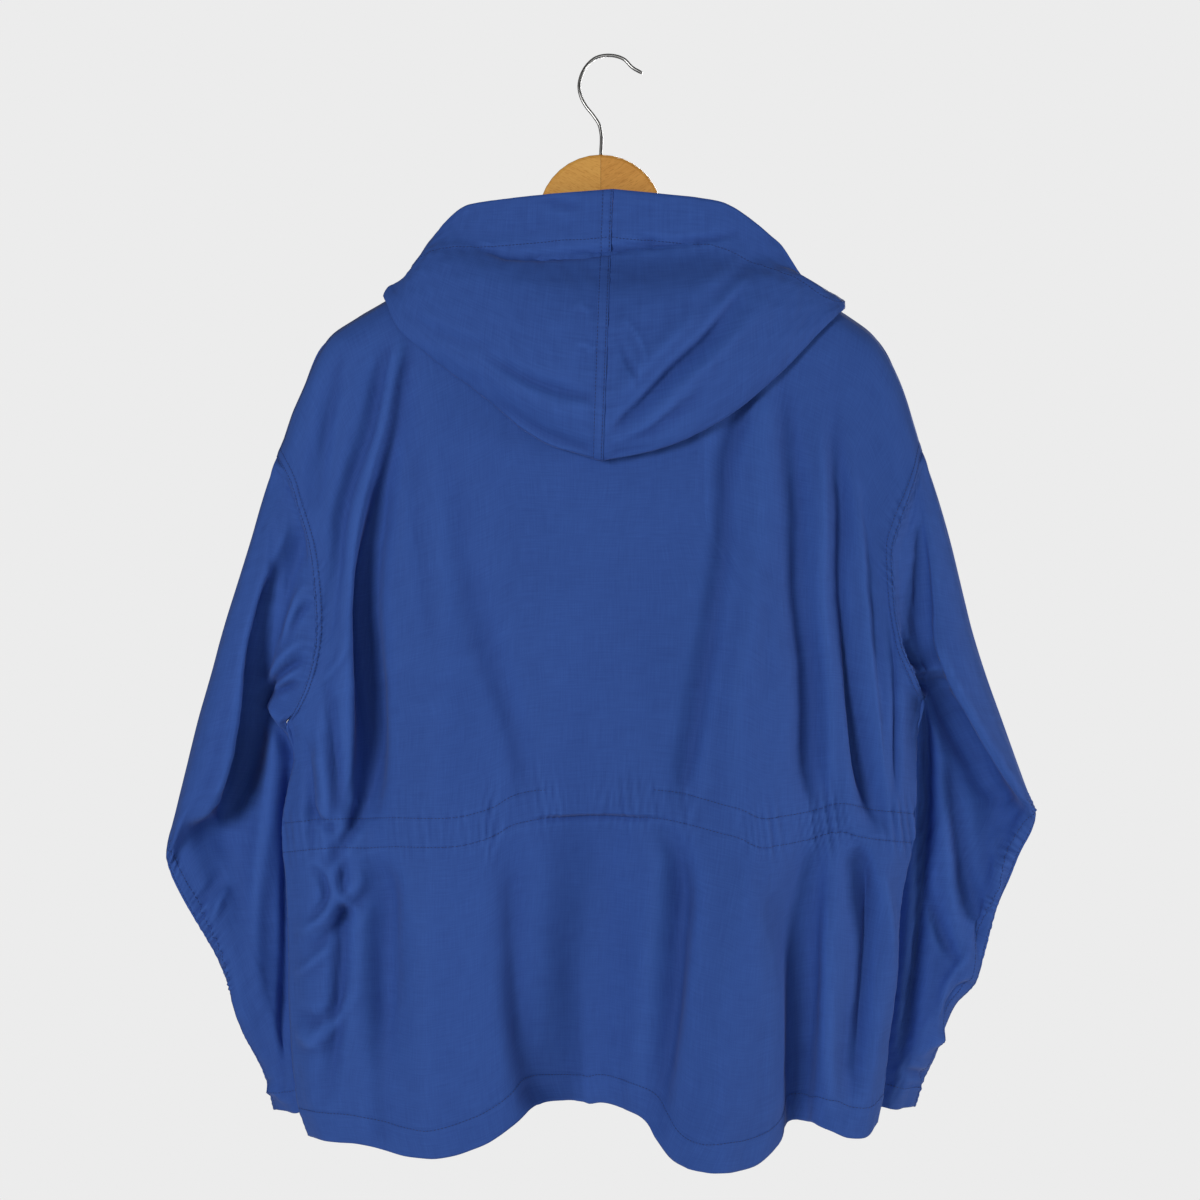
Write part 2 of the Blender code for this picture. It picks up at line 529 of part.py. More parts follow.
def front_depth(x, z):
    """Depth of the front panel, towards -Y, at a real x and z."""
    side = side_of(x)
    over_ridge = rounded(distance_to(RIDGE[side], x, z) / RIDGE_RADIUS)
    from_side = distance_to(SIDE[side], x, z)
    from_edge = min(from_side, distance_to(ARMHOLE[side], x, z))
    edge = column(FRONT_EDGE_DEPTH, 0, 1, z)
    swell = column(FRONT_DEPTH, 0, 1, z) - edge + fold_height(FRONT_FOLDS, x, z)
    depth = edge * rounded(from_side / FRONT_EDGE_RADIUS) + swell * eased(from_edge / FRONT_SWELL_REACH)
    return -depth * over_ridge


def seen(x, z, y):
    """Real point of an outline point at a depth, on its line of sight."""
    share = (EYE.y - y) / EYE.y
    return Vector((EYE.x + (x - EYE.x) * share, y, EYE.z + (z - EYE.z) * share))


def drawn(point):
    """Outline point of a real point: where its line of sight meets the hanger's plane."""
    share = EYE.y / (EYE.y - point.y)
    return EYE.x + (point.x - EYE.x) * share, EYE.z + (point.z - EYE.z) * share


def back_point(x, z):
    """Point of the back panel over an outline point."""
    return seen(x, z, back_depth(x, z))


def front_point(x, z):
    """Point of the front panel at a real x and z."""
    return Vector((x, front_depth(x, z), z))


def new_material(name, colour, roughness, metallic=0.0):
    """Principled material of one colour."""
    material = bpy.data.materials.new(name)
    material.use_nodes = True
    shader = material.node_tree.nodes["Principled BSDF"]
    shader.inputs["Base Color"].default_value = (*colour, 1.0)
    shader.inputs["Roughness"].default_value = roughness
    shader.inputs["Metallic"].default_value = metallic
    return material


def add_object(name, bm, collection, colour, roughness, metallic=0.0):
    """Turns a bmesh in millimetres into a named object in metres."""
    bmesh.ops.scale(bm, vec=(MM, MM, MM), verts=bm.verts)
    mesh = bpy.data.meshes.new(name)
    bm.to_mesh(mesh)
    bm.free()
    mesh.materials.append(new_material(name, colour, roughness, metallic))
    item = bpy.data.objects.new(name, mesh)
    collection.objects.link(item)
    return item


class Sheet:
    """Outer points of a piece of cloth on a grid, with the side that it faces."""

    def __init__(self, columns, rows, place, facing):
        self.columns = columns
        self.rows = rows
        self.points = {(i, j): place(i, j) for i in range(columns + 1) for j in range(rows + 1)}
        corner, look = facing
        self.sign = 1.0
        if self.normal(*corner).dot(look) < 0.0:
            self.sign = -1.0

    def normal(self, i, j):
        """Outward normal at a grid corner."""
        here = self.points[i, j]
        total = Vector()
        for across, up in ((1, 1), (-1, 1), (-1, -1), (1, -1)):
            beside = self.points.get((i + across, j))
            above = self.points.get((i, j + up))
            if beside and above:
                total += (beside - here).cross(above - here).normalized() * (across * up)
        return total.normalized() * self.sign

    def run(self, i, j):
        """Direction of a column at a grid corner."""
        return (self.points[i, min(j + 1, self.rows)] - self.points[i, max(j - 1, 0)]).normalized()


def limited(step, most):
    """Step no longer than a limit."""
    if step.length > most:
        step.length = most
    return step


def in_plane(normal, plane, thickness):
    """Inward step from a seam's edge that stays in the seam's plane."""
    flat = normal - plane * normal.dot(plane)
    return limited(-flat * (thickness / max(flat.length_squared, 1e-6)), SLANT_MOST * thickness)


def mitred(first, second, run):
    """Inward step where the walls of two pieces meet at a seam."""
    step = (first + second) * (-CLOTH / max(1.0 + first.dot(second), MITRE_LEAST))
    return limited(step - run * step.dot(run), MITRE_MOST * CLOTH)


def wedged(corner, first, second, run, normals):
    """Inward step at a seam where two pieces leave the edge towards the same side.

    first and second are the next points of the two pieces. Where the pieces lie nearly
    flat to each other, their normals give the step instead.
    """
    one = (first - corner).normalized()
    other = (second - corner).normalized()
    between = one + other
    half_sine = math.sqrt(max((1.0 - one.dot(other)) / 2.0, 0.0))
    if between.length < WEDGE_LEAST:
        return mitred(*normals, run)
    room = WEDGE_SHARE * min((first - corner).length, (second - corner).length)
    return between.normalized() * min(CLOTH / max(half_sine, 0.05), max(room, CLOTH))


def cloth_panel(sheet, inward, keep=None, thickness=CLOTH):
    """Closed wall of cloth over a sheet.

    inward(i, j) gives the step from the outer side to the inner one, or None for a free
    point. keep(i, j) says whether the cell above and right of a corner is cloth.
    """
    bm = bmesh.new()
    step_layer = bm.verts.layers.float_vector.new("inward")
    bmesh.ops.create_grid(bm, x_segments=sheet.columns, y_segments=sheet.rows, size=0.5)
    corner = {}
    for vert in bm.verts:
        i = round((vert.co.x + 0.5) * sheet.columns)
        j = round((vert.co.y + 0.5) * sheet.rows)
        corner[i, j] = vert
    if keep:
        names = {vert: key for key, vert in corner.items()}
        gone = []
        for face in bm.faces:
            i = min(names[vert][0] for vert in face.verts)
            j = min(names[vert][1] for vert in face.verts)
            if not keep(i, j):
                gone.append(face)
        bmesh.ops.delete(bm, geom=gone, context="FACES")
        corner = {key: vert for key, vert in corner.items() if vert.is_valid}
    for (i, j), vert in corner.items():
        vert.co = sheet.points[i, j]
        step = inward(i, j)
        vert[step_layer] = step if step else -sheet.normal(i, j) * thickness
    bmesh.ops.remove_doubles(bm, verts=bm.verts[:], dist=SAME_PLACE)
    bmesh.ops.triangulate(bm, faces=bm.faces[:])
    made = bmesh.ops.extrude_face_region(bm, geom=bm.faces[:], use_keep_orig=True)
    for item in made["geom"]:
        if isinstance(item, bmesh.types.BMVert):
            item.co += Vector(item[step_layer])
    bmesh.ops.triangulate(bm, faces=bm.faces[:], quad_method="SHORT_EDGE")
    bmesh.ops.recalc_face_normals(bm, faces=bm.faces[:])
    return bm


ACROSS = Vector((1.0, 0.0, 0.0))
DEPTHWAYS = Vector((0.0, 1.0, 0.0))
UPWARDS = Vector((0.0, 0.0, 1.0))
LOOK = {"back": DEPTHWAYS, "front": -DEPTHWAYS}
ARMHOLE_STEPS = len(ARMHOLE_FRACTIONS) - 1


def outwards(side):
    """Unit vector towards a sleeve's side of the garment."""
    return ACROSS if side == "left" else -ACROSS


def armhole_point(side, index, part, towards_body):
    """Edge point of a piece at an armhole seam, with its half of the seam's gap."""
    x, z = along(ARMHOLE[side], ARMHOLE_FRACTIONS[index])
    point = back_point(x, z) if part == "back" else front_point(x, z)
    sign = -1.0 if towards_body else 1.0
    half = SEAM_GAP / 2
    if index == 0:
        corner = outwards(side) * CORNER_GAP * sign + LOOK[part] * half
        return Vector((x, 0.0, z)) + corner
    if index == ARMHOLE_STEPS:
        fall = SHOULDER[side]
        run = Vector((fall[-1][0] - fall[-2][0], 0.0, fall[-1][1] - fall[-2][1])).normalized()
        return Vector((x, 0.0, z)) + run * half * sign + LOOK[part] * half
    low = along(ARMHOLE[side], ARMHOLE_FRACTIONS[index - 1])
    high = along(ARMHOLE[side], ARMHOLE_FRACTIONS[index + 1])
    run = Vector((high[0] - low[0], 0.0, high[1] - low[1])).normalized()
    over = run.cross(DEPTHWAYS)
    if over.dot(outwards(side)) < 0.0:
        over = -over
    return point + over * half * sign


def side_level(side, casing_end, row):
    """Outline point of the side seam or the armhole at a grid row, from the hem up."""
    seam = SIDE[side]
    above_casing = SKIRT_ROWS + 1
    under = above_casing + WAIST_ROWS
    if row >= under:
        return along(ARMHOLE[side], ARMHOLE_FRACTIONS[row - under])
    if row <= SKIRT_ROWS:
        z = seam[0][1] + (casing_end - seam[0][1]) * row / SKIRT_ROWS
    else:
        start = casing_end + CASING_WIDTH
        z = start + (seam[-1][1] - start) * (row - above_casing) / WAIST_ROWS
    return column(seam, 1, 0, z), z


class BodyGrid:
    """Outline points of a body panel: columns from left to right, rows from the hem up."""

    def __init__(self, hem, casing, neck, shoulder_columns, neck_shares):
        self.hem = hem
        self.casing = casing
        self.neck = neck
        self.shoulder_columns = shoulder_columns
        self.neck_shares = neck_shares
        self.neck_columns = len(neck_shares) - 1
        self.columns = 2 * shoulder_columns + self.neck_columns
        self.casing_row = SKIRT_ROWS
        self.underarm_row = SKIRT_ROWS + 1 + WAIST_ROWS
        self.rows = self.underarm_row + ARMHOLE_STEPS
        self.points = {}
        for j in range(self.rows + 1):
            for i in range(self.columns + 1):
                self.points[i, j] = self.outline_point(i, j)

    def top(self, index):
        """Outline point of the shoulder or neck edge at a column."""
        if index <= self.shoulder_columns:
            return along(SHOULDER["left"], 1.0 - index / self.shoulder_columns)
        index -= self.shoulder_columns
        if index <= self.neck_columns:
            return along(self.neck, self.neck_shares[index])
        return along(SHOULDER["right"], (index - self.neck_columns) / self.shoulder_columns)

    def out_of_cloth(self, index):
        """Direction out of the cloth, square to the top edge at a column."""
        before = self.top(max(index - 1, 0))
        after = self.top(min(index + 1, self.columns))
        return Vector((after[1] - before[1], before[0] - after[0])).normalized()

    def below_top(self, index):
        """Outline point one narrow row below the top edge, straight down near the neck points."""
        into_neck = index - self.shoulder_columns
        corner = min(abs(into_neck), abs(self.neck_columns - into_neck))
        square = min(corner / NECK_TURN_COLUMNS, 1.0) if 0 <= into_neck <= self.neck_columns else 1.0
        out = self.out_of_cloth(index).lerp(Vector((0.0, 1.0)), 1.0 - square).normalized()
        x, z = self.top(index)
        return x - out.x * SHOULDER_ROW, z - out.y * SHOULDER_ROW

    def level(self, line, share):
        """Outline point of a level line, such as the hem, at a share of its width."""
        x = line[0][0] + (line[-1][0] - line[0][0]) * share
        return x, column(line, 0, 1, x)

    def raised(self, line, share, height):
        """Outline point above a level line."""
        x, z = self.level(line, share)
        return x, z + height

    def edge_ends(self, row):
        """Outline points of the left and right edge at a row."""
        left = side_level("left", self.casing[0][1], row)
        right = side_level("right", self.casing[-1][1], row)
        return left, right

    def outline_point(self, i, j):
        """Outline point of a grid corner."""
        share = i / self.columns
        left, right = self.edge_ends(j)
        if i == 0:
            return left
        if i == self.columns:
            return right
        if j == self.rows:
            return self.top(i)
        if j <= self.casing_row:
            rise = j / self.casing_row
            ends = [self.level(line, at) for at in (share, 0.0, 1.0) for line in (self.hem, self.casing)]
        else:
            rise = self.chest_rise(j)
            ends = []
            for at in (share, 0.0, 1.0):
                ends.append(self.raised(self.casing, at, CASING_WIDTH))
                ends.append(self.below_top(round(at * self.columns)))
        point, at_left, at_right = (mixed(ends[n], ends[n + 1], rise) for n in (0, 2, 4))
        x = point[0] + (left[0] - at_left[0]) * (1 - share) + (right[0] - at_right[0]) * share
        z = point[1] + (left[1] - at_left[1]) * (1 - share) + (right[1] - at_right[1]) * share
        return x, z

    def chest_rise(self, row):
        """Share of the way from the casing to the shoulder at a row."""
        low, here, high = (self.edge_ends(j)[0][1] for j in (self.casing_row + 1, row, self.rows - 1))
        return (here - low) / (high - low)

    def follow_folds(self, folds, leads):
        """Moves columns onto the folds that they lead, and their neighbours part of the way."""
        for name, lead in leads.items():
            rows = folds[name]
            for j in range(1, self.rows - 1):
                x, z = self.points[lead, j]
                into = min(rows[0][0] - z, z - rows[-1][0])
                shift = (column(rows, 0, 1, z) - x) * eased(into / LEAD_FADE)
                for i in range(lead - LEAD_REACH, lead + LEAD_REACH + 1):
                    if 0 < i < self.columns:
                        weight = 1.0 - abs(i - lead) / (LEAD_REACH + 1)
                        x, z = self.points[i, j]
                        self.points[i, j] = (x + shift * weight, z)

    def at_top_seam(self, i, j):
        """True on a shoulder seam, neck points included."""
        into_neck = i - self.shoulder_columns
        return j == self.rows and not 0 < into_neck < self.neck_columns

    def sheet(self, part):
        """Sheet of the panel in its real place, with its half of the seam gaps."""
        half = LOOK[part] * (SEAM_GAP / 2)

        def place(i, j):
            x, z = self.points[i, j]
            if i in (0, self.columns) and j >= self.underarm_row:
                side = "left" if i == 0 else "right"
                return armhole_point(side, j - self.underarm_row, part, True)
            if i in (0, self.columns) or self.at_top_seam(i, j):
                return Vector((x, 0.0, z)) + half
            return back_point(x, z) if part == "back" else front_point(x, z)

        middle = (self.columns // 2, self.casing_row)
        return Sheet(self.columns, self.rows, place, (middle, LOOK[part]))


BACK_GRID = BodyGrid(BACK_HEM, BACK_CASING, BACK_NECK, BACK_SHOULDER_COLUMNS, BACK_NECK_SHARES)
FRONT_GRID = BodyGrid(FRONT_HEM, FRONT_CASING, FRONT_NECK, FRONT_SHOULDER_COLUMNS, FRONT_NECK_SHARES)
GRIDS = {"back": BACK_GRID, "front": FRONT_GRID}
SLIT_COLUMN = FRONT_SHOULDER_COLUMNS + FRONT_GRID.neck_columns // 2


def open_slit():
    """Draws the two columns beside the neck slit together down to its bottom."""
    top = FRONT_GRID.points[SLIT_COLUMN, FRONT_GRID.rows][1]
    for j in range(FRONT_GRID.underarm_row, FRONT_GRID.rows + 1):
        z = FRONT_GRID.points[SLIT_COLUMN, j][1]
        if z < NECK_SLIT_BOTTOM:
            continue
        rise = (z - NECK_SLIT_BOTTOM) / (top - NECK_SLIT_BOTTOM)
        width = NECK_SLIT_BOTTOM_WIDTH + (NECK_SLIT_TOP_WIDTH - NECK_SLIT_BOTTOM_WIDTH) * rise
        FRONT_GRID.points[SLIT_COLUMN, j] = (STEM_X + width / 2, z)
        FRONT_GRID.points[SLIT_COLUMN + 1, j] = (STEM_X - width / 2, z)


def front_is_cloth(i, j):
    """False in the cells of the neck slit."""
    return i != SLIT_COLUMN or FRONT_GRID.points[i, j][1] < NECK_SLIT_BOTTOM


def sleeve_shares(side):
    """Shares of the outer edge's length at the sleeve's rows, from the armhole to the cuff."""
    under = UNDERARM_SHARE[side]
    elbow = ELBOW_SHARE[side]
    shares = [under * (1.0 - fraction) for fraction in reversed(ARMHOLE_FRACTIONS)]
    shares += [under + (elbow - under) * step / ELBOW_ROWS for step in range(1, ELBOW_ROWS + 1)]
    start = elbow + ELBOW_STEP
    shares += [start + (1.0 - start) * step / FOREARM_ROWS for step in range(FOREARM_ROWS + 1)]
    return shares


def rounded_tip(outer, inner, share):
    """Point between the edge and the seam just below the top of a sleeve."""
    point = outer.lerp(inner, share)
    point.y = outer.y + (inner.y - outer.y) * rounded(share)
    return point


def sleeve_sheets(side):
    """Sheets of the back and front half of a sleeve, rows from the armhole to the cuff."""
    shares = sleeve_shares(side)
    rows = len(shares) - 1
    back_columns = len(BAND_COLUMNS) + len(HOLLOW_COLUMNS) - 1
    names = ("lip_x", "lip_z", "bow", "edge", "crest", "lip", "floor", "swell", "bulge")
    sections = []
    for share in shares:
        table = SLEEVE_SECTIONS[side]
        cut = {name: column(table, 0, 1 + n, share) for n, name in enumerate(names)}
        cut["outer"] = along(SLEEVE_EDGE[side], share)
        sections.append(cut)

    def inner_point(j, part):
        if j <= ARMHOLE_STEPS:
            return armhole_point(side, ARMHOLE_STEPS - j, part, False)
        x, z, y = (column(UNDERARM[side], 0, value, shares[j]) for value in (1, 2, 3))
        return seen(x, z, y) + LOOK[part] * (SEAM_GAP / 2)

    def outer_point(j, part):
        cut = sections[j]
        return seen(*cut["outer"], cut["edge"]) + LOOK[part] * (SEAM_GAP / 2)

    def back_place(i, j):
        cut = sections[j]
        inner = inner_point(j, "back")
        if j == 0 or i == back_columns:
            return inner
        if i == 0:
            return outer_point(j, "back")
        if j == 1:
            return rounded_tip(outer_point(j, "back"), inner, i / back_columns)
        lip = (cut["lip_x"], cut["lip_z"])
        if i < len(BAND_COLUMNS):
            share = BAND_COLUMNS[i]
            x, z = mixed(cut["outer"], lip, share)
            z += cut["bow"] * bowed(share)
            rise = cut["edge"] + BAND_RISE * (cut["crest"] - cut["edge"])
            return seen(x, z, [cut["edge"], rise, cut["crest"], cut["lip"]][i])
        step = i - len(BAND_COLUMNS)
        x, z = mixed(lip, drawn(inner), HOLLOW_COLUMNS[step])
        near = HOLLOW_NEAR * (cut["floor"] + cut["swell"])
        far = HOLLOW_FAR * cut["swell"] + (1.0 - HOLLOW_FAR) * inner.y
        return seen(x, z, [cut["floor"], near, cut["swell"], far][step])

    def front_place(i, j):
        inner = inner_point(j, "front")
        if j == 0 or i == len(FRONT_HALF_COLUMNS) - 1:
            return inner
        if i == 0:
            return outer_point(j, "front")
        share = FRONT_HALF_COLUMNS[i]
        if j == 1:
            return rounded_tip(outer_point(j, "front"), inner, share)
        point = outer_point(j, "front").lerp(inner, share)
        return point - DEPTHWAYS * sections[j]["bulge"] * math.sqrt(1.0 - (2.0 * share - 1.0) ** 2)

    middle = (2, rows - 3)
    return {
        "back": Sheet(back_columns, rows, back_place, (middle, LOOK["back"])),
        "front": Sheet(len(FRONT_HALF_COLUMNS) - 1, rows, front_place, (middle, LOOK["front"])),
    }


def underarm_step(side, towards_body):
    """Inward step of a piece at the underarm, where the armhole meets the side seam."""
    into = -outwards(side) if towards_body else outwards(side)
    return (into * UNDERARM_WAY[0] + UPWARDS * UNDERARM_WAY[1]) * CLOTH * UNDERARM_STEP


def armhole_steps(side, part, body, sleeve):
    """Inward steps at an armhole seam, shared by the panel and the sleeve half."""
    grid = GRIDS[part]
    i = 0 if side == "left" else grid.columns
    fall = SHOULDER[side]
    run = Vector((fall[-1][0] - fall[-2][0], 0.0, fall[-1][1] - fall[-2][1])).normalized()
    into = run.cross(DEPTHWAYS)
    if into.dot(outwards(side)) > 0.0:
        into = -into
    steps = {ARMHOLE_STEPS: into * CLOTH}
    for index in range(1, ARMHOLE_STEPS):
        j = grid.underarm_row + index
        sleeve_corner = (sleeve.columns, ARMHOLE_STEPS - index)
        steps[index] = mitred(body.normal(i, j), sleeve.normal(*sleeve_corner), body.run(i, j))
    return steps


def add_body(bodies, armholes, collection):
    """Back and front panels with their waist casings."""
    for part, sheet in bodies.items():
        grid = GRIDS[part]

        def inward(i, j, grid=grid, part=part, sheet=sheet):
            at_edge = i in (0, grid.columns)
            if at_edge and j >= grid.underarm_row:
                side = "left" if i == 0 else "right"
                if j == grid.underarm_row:
                    return underarm_step(side, True)
                return armholes[side, part][j - grid.underarm_row]
            if at_edge or grid.at_top_seam(i, j):
                return in_plane(sheet.normal(i, j), DEPTHWAYS, CLOTH)
            return None

        bm = cloth_panel(sheet, inward, front_is_cloth if part == "front" else None)
        add_object(f"{part}_panel", bm, collection, BLUE, COTTON_ROUGHNESS)
        add_casing(part, grid, sheet, collection)


def add_casing(part, grid, sheet, collection):
    """Drawcord casing: a strip on the inside of a panel, between its two stitch rows."""
    inset = CLOTH + SEAM_GAP

    def place(i, j):
        corner = (i + 1, grid.casing_row + j)
        return sheet.points[corner] - sheet.normal(*corner) * inset

    def inward(i, j):
        return -sheet.normal(i + 1, grid.casing_row + j) * CASING_CLOTH

    strip = Sheet(grid.columns - 2, 1, place, ((grid.columns // 2, 0), LOOK[part]))
    add_object(f"waist_casing_{part}", cloth_panel(strip, inward), collection, BLUE, COTTON_ROUGHNESS)


def add_sleeve(side, halves, armholes, collection):
    """Back and front half of a sleeve."""
    back, front = halves["back"], halves["front"]

    def inward_of(part, sheet):
        def inward(i, j):
            if j == 0:
                return armholes[side, part][ARMHOLE_STEPS]
            if i == sheet.columns and j == ARMHOLE_STEPS:
                return underarm_step(side, False)
            if i == sheet.columns and j < ARMHOLE_STEPS:
                return armholes[side, part][ARMHOLE_STEPS - j]
            if i == 0 or i == sheet.columns:
                ends = (0, 0, 1, 1) if i == 0 else (
                    back.columns, front.columns, back.columns - 1, front.columns - 1)
                normals = (back.normal(ends[0], j), front.normal(ends[1], j))
                corner = (back.points[ends[0], j] + front.points[ends[1], j]) / 2
                beside = (back.points[ends[2], j], front.points[ends[3], j])
                return wedged(corner, *beside, back.run(ends[0], j), normals)
            return -sheet.normal(i, j) * SLEEVE_TIP_CLOTH if j == 1 else None

        return inward

    for part, sheet in halves.items():
        bm = cloth_panel(sheet, inward_of(part, sheet))
        add_object(f"sleeve_{side}_{part}", bm, collection, BLUE, COTTON_ROUGHNESS)


def hood_columns(side, bodies):
    """Neck seam points and shares w at a hood half's columns, from the centre back."""
    step = -1 if side == "left" else 1
    shares = BACK_GRID.neck_shares
    middle = BACK_GRID.neck_columns // 2

    def seam_point(part, n):
        grid = GRIDS[part]
        index = grid.shoulder_columns + n
        out = grid.out_of_cloth(index)
        if n in (0, grid.neck_columns):
            out = Vector((0.0, 1.0))
        return bodies[part].points[index, grid.rows] + Vector((out.x, 0.0, out.y)) * SEAM_GAP

    columns = []
    for n in range(middle):
        here, there = (seam_point("back", middle + step * (n + more)) for more in (0, 1))
        w_here, w_there = (
            HOOD_SIDE_SHARE * abs(shares[middle + step * (n + more)] - 0.5) / 0.5 for more in (0, 1)
        )
        splits = HOOD_BACK_SPLIT if w_there - w_here > HOOD_SPLIT_ABOVE else 1
        for split in range(splits):
            share = split / splits
            columns.append((here.lerp(there, share), w_here + (w_there - w_here) * share))
    start = 0 if side == "left" else FRONT_GRID.neck_columns
    shares = FRONT_GRID.neck_shares
    for n in range(FRONT_GRID.neck_columns // 2 + 1):
        point = seam_point("front", start - step * n)
        if n == 0:
            point.y = 0.0
        w = HOOD_SIDE_SHARE + (1.0 - HOOD_SIDE_SHARE) * shares[n] / FRONT_SLIT_SHARE
        columns.append((point, min(w, 1.0)))
    return columns


def laid_on_body(point, clearance, exactly):
    """Moves a point of the hood to lie off the panels by a clearance, or by no less.

    Close to the shoulder the panels turn over like a quarter ellipse, and there the point
    keeps its depth and is moved in height.
    """
    is_back = point.y >= 0.0
    x, z = drawn(point) if is_back else (point.x, point.z)
    neck, tip = RIDGE[side_of(x)][1:3]
    slope = (tip[1] - neck[1]) / (tip[0] - neck[0])
    square = math.cos(math.atan(slope))
    top = neck[1] + slope * (x - neck[0])
    below = (top - z) * square
    if not is_back:
        clearance += HOOD_FRONT_EXTRA
    full = column(BACK_DEPTH if is_back else FRONT_DEPTH, 0, 1, z) + clearance
    reach = RIDGE_RADIUS + clearance
    depth = abs(point.y)
    turn = (RIDGE_RADIUS - below) / reach
    least = full * math.sqrt(1.0 - turn * turn) if -1.0 < turn < 1.0 else 0.0
    if turn <= 0.0:
        least = clearance + (back_depth(x, z) if is_back else -front_depth(x, z))
    if not exactly and depth >= least:
        return point
    if depth < HOOD_TURN_SHARE * full and turn > 0.0:
        below = RIDGE_RADIUS - reach * math.sqrt(1.0 - (depth / full) ** 2)
        height = top - below / square
        return seen(x, height, point.y) if is_back else Vector((x, point.y, height))
    return seen(x, z, least) if is_back else Vector((x, -least, z))


def hood_section(side, neck, w):
    """Points of a hood section at its rows, from the neck seam to the rim."""
    values = [column(HOOD_SECTIONS[side], 0, n, w) for n in range(1, 9)]
    fold = seen(values[0], values[1], values[2])
    rim = seen(values[3], values[4], values[5])
    puff, roll = values[6], values[7]
    turn = min(w / HOOD_SIDE_SHARE, 1.0) ** 2 * math.pi / 2
    if w > HOOD_SIDE_SHARE:
        turn += (w - HOOD_SIDE_SHARE) / (1.0 - HOOD_SIDE_SHARE) * math.pi / 2
    away = outwards(side) * math.sin(turn) * HOOD_SIDEWAYS + DEPTHWAYS * math.cos(turn)
    away = (away + UPWARDS * math.sin(turn) ** HOOD_FRONT_RISE_POWER).normalized()
    towards_side = eased((w - HOOD_TO_SIDE[0]) / (HOOD_TO_SIDE[1] - HOOD_TO_SIDE[0]))
    clearance = HOOD_CLEARANCE + (HOOD_SIDE_CLEARANCE - HOOD_CLEARANCE) * towards_side
    crest = neck + UPWARDS * HOOD_CREST + away * HOOD_CREST_STEP
    over_crest = crest + away * HOOD_CREST_STEP - UPWARDS * HOOD_CREST_STEP
    keys = [neck, crest - away * HOOD_CREST_INWARD - UPWARDS * HOOD_CREST_STEP, crest, over_crest]
    keys += [over_crest.lerp(fold, share) for share in HOOD_DROP]
    keys.append(fold)
    for row, (share, puffed) in enumerate(HOOD_RISE):
        # Just above the fold the cloth is never drawn in.
        swell = max(puff, 0.0) if row == 0 else puff
        keys.append(fold.lerp(rim, share) + away * swell * puffed)
    keys += [fold.lerp(rim, HOOD_ROLL_SHARE) - away * roll, rim]
    lengths = [0.0]
    for start, end in zip(keys, keys[1:]):
        lengths.append(lengths[-1] + (end - start).length)
    points = []
    for place in HOOD_ROWS:
        low = min(int(place), len(keys) - 2)
        at = lengths[low] + (lengths[low + 1] - lengths[low]) * (place - low)
        point = Vector([smooth(lengths, [key[axis] for key in keys], at) for axis in range(3)])
        if HOOD_LAID_ROWS[0] < place < HOOD_LAID_ROWS[1]:
            point = laid_on_body(point, clearance, w < HOOD_LAID_SHARE)
        elif HOOD_LAID_ROWS[1] <= place < HOOD_DOUBLED_ROW:
            point = laid_on_body(point, clearance + HOOD_LAYERS / 2, False)
        elif place >= HOOD_DOUBLED_ROW:
            point = laid_on_body(point, clearance + HOOD_LAYERS, False)
        points.append(point)
    return points


def add_hood(side, bodies, collection):
    """One half of the hood, open at the rim and parted from the other at the centre back."""
    columns = hood_columns(side, bodies)
    sections = [hood_section(side, neck, w) for neck, w in columns]
    shift = outwards(side) * (SEAM_GAP / 2)

    def place(i, j):
        return sections[i][j] + shift if i == 0 else sections[i][j]

    outer = (1, HOOD_ROWS.index(9.0))
    sheet = Sheet(len(columns) - 1, len(HOOD_ROWS) - 1, place, (outer, DEPTHWAYS))

    def inward(i, j):
        return in_plane(sheet.normal(i, j), ACROSS, HOOD_CLOTH) if i == 0 else None

    bm = cloth_panel(sheet, inward, thickness=HOOD_CLOTH)
    add_object(f"hood_{side}", bm, collection, BLUE, COTTON_ROUGHNESS)


def hanger_outline(side):
    """Outline of one half of the hanger, from the top of its dome round to its underside."""
    sign = 1.0 if side == "left" else -1.0
    neck, tip = SHOULDER[side][0], SHOULDER[side][1]
    slope = (tip[1] - neck[1]) / (abs(tip[0] - STEM_X) - abs(neck[0] - STEM_X))

    def arm_top(reach):
        return neck[1] - HANGER_ROOF_GAP + slope * (reach - abs(neck[0] - STEM_X))

    points = []
    for step in range(HANGER_ARC_STEPS + 1):
        angle = math.radians(HANGER_DOME_SWEEP) * step / HANGER_ARC_STEPS
        drop = HANGER_DOME_RADIUS * (1 - math.cos(angle))
        points.append((HANGER_DOME_RADIUS * math.sin(angle), HANGER_DOME_TOP - drop))
    neck_end = HANGER_NECK[-1][0]
    points += [(reach, arm_top(neck_end) + above) for reach, above in HANGER_NECK]
    lean = math.atan(slope)
    tip_x = HANGER_REACH - HANGER_END_RADIUS
    tip_z = arm_top(tip_x) - HANGER_END_RADIUS / math.cos(lean)
    for step in range(HANGER_ARC_STEPS + 1):
        angle = math.pi / 2 + lean - math.pi * step / HANGER_ARC_STEPS
        out, up = HANGER_END_RADIUS * math.cos(angle), HANGER_END_RADIUS * math.sin(angle)
        points.append((tip_x + out, tip_z + up))
    points += [(reach, arm_top(reach) - depth) for reach, depth in HANGER_ARM_DEPTH]
    points += HANGER_HEAD_BOTTOM
    return [(STEM_X + sign * max(x, SEAM_GAP / 2), z) for x, z in points]


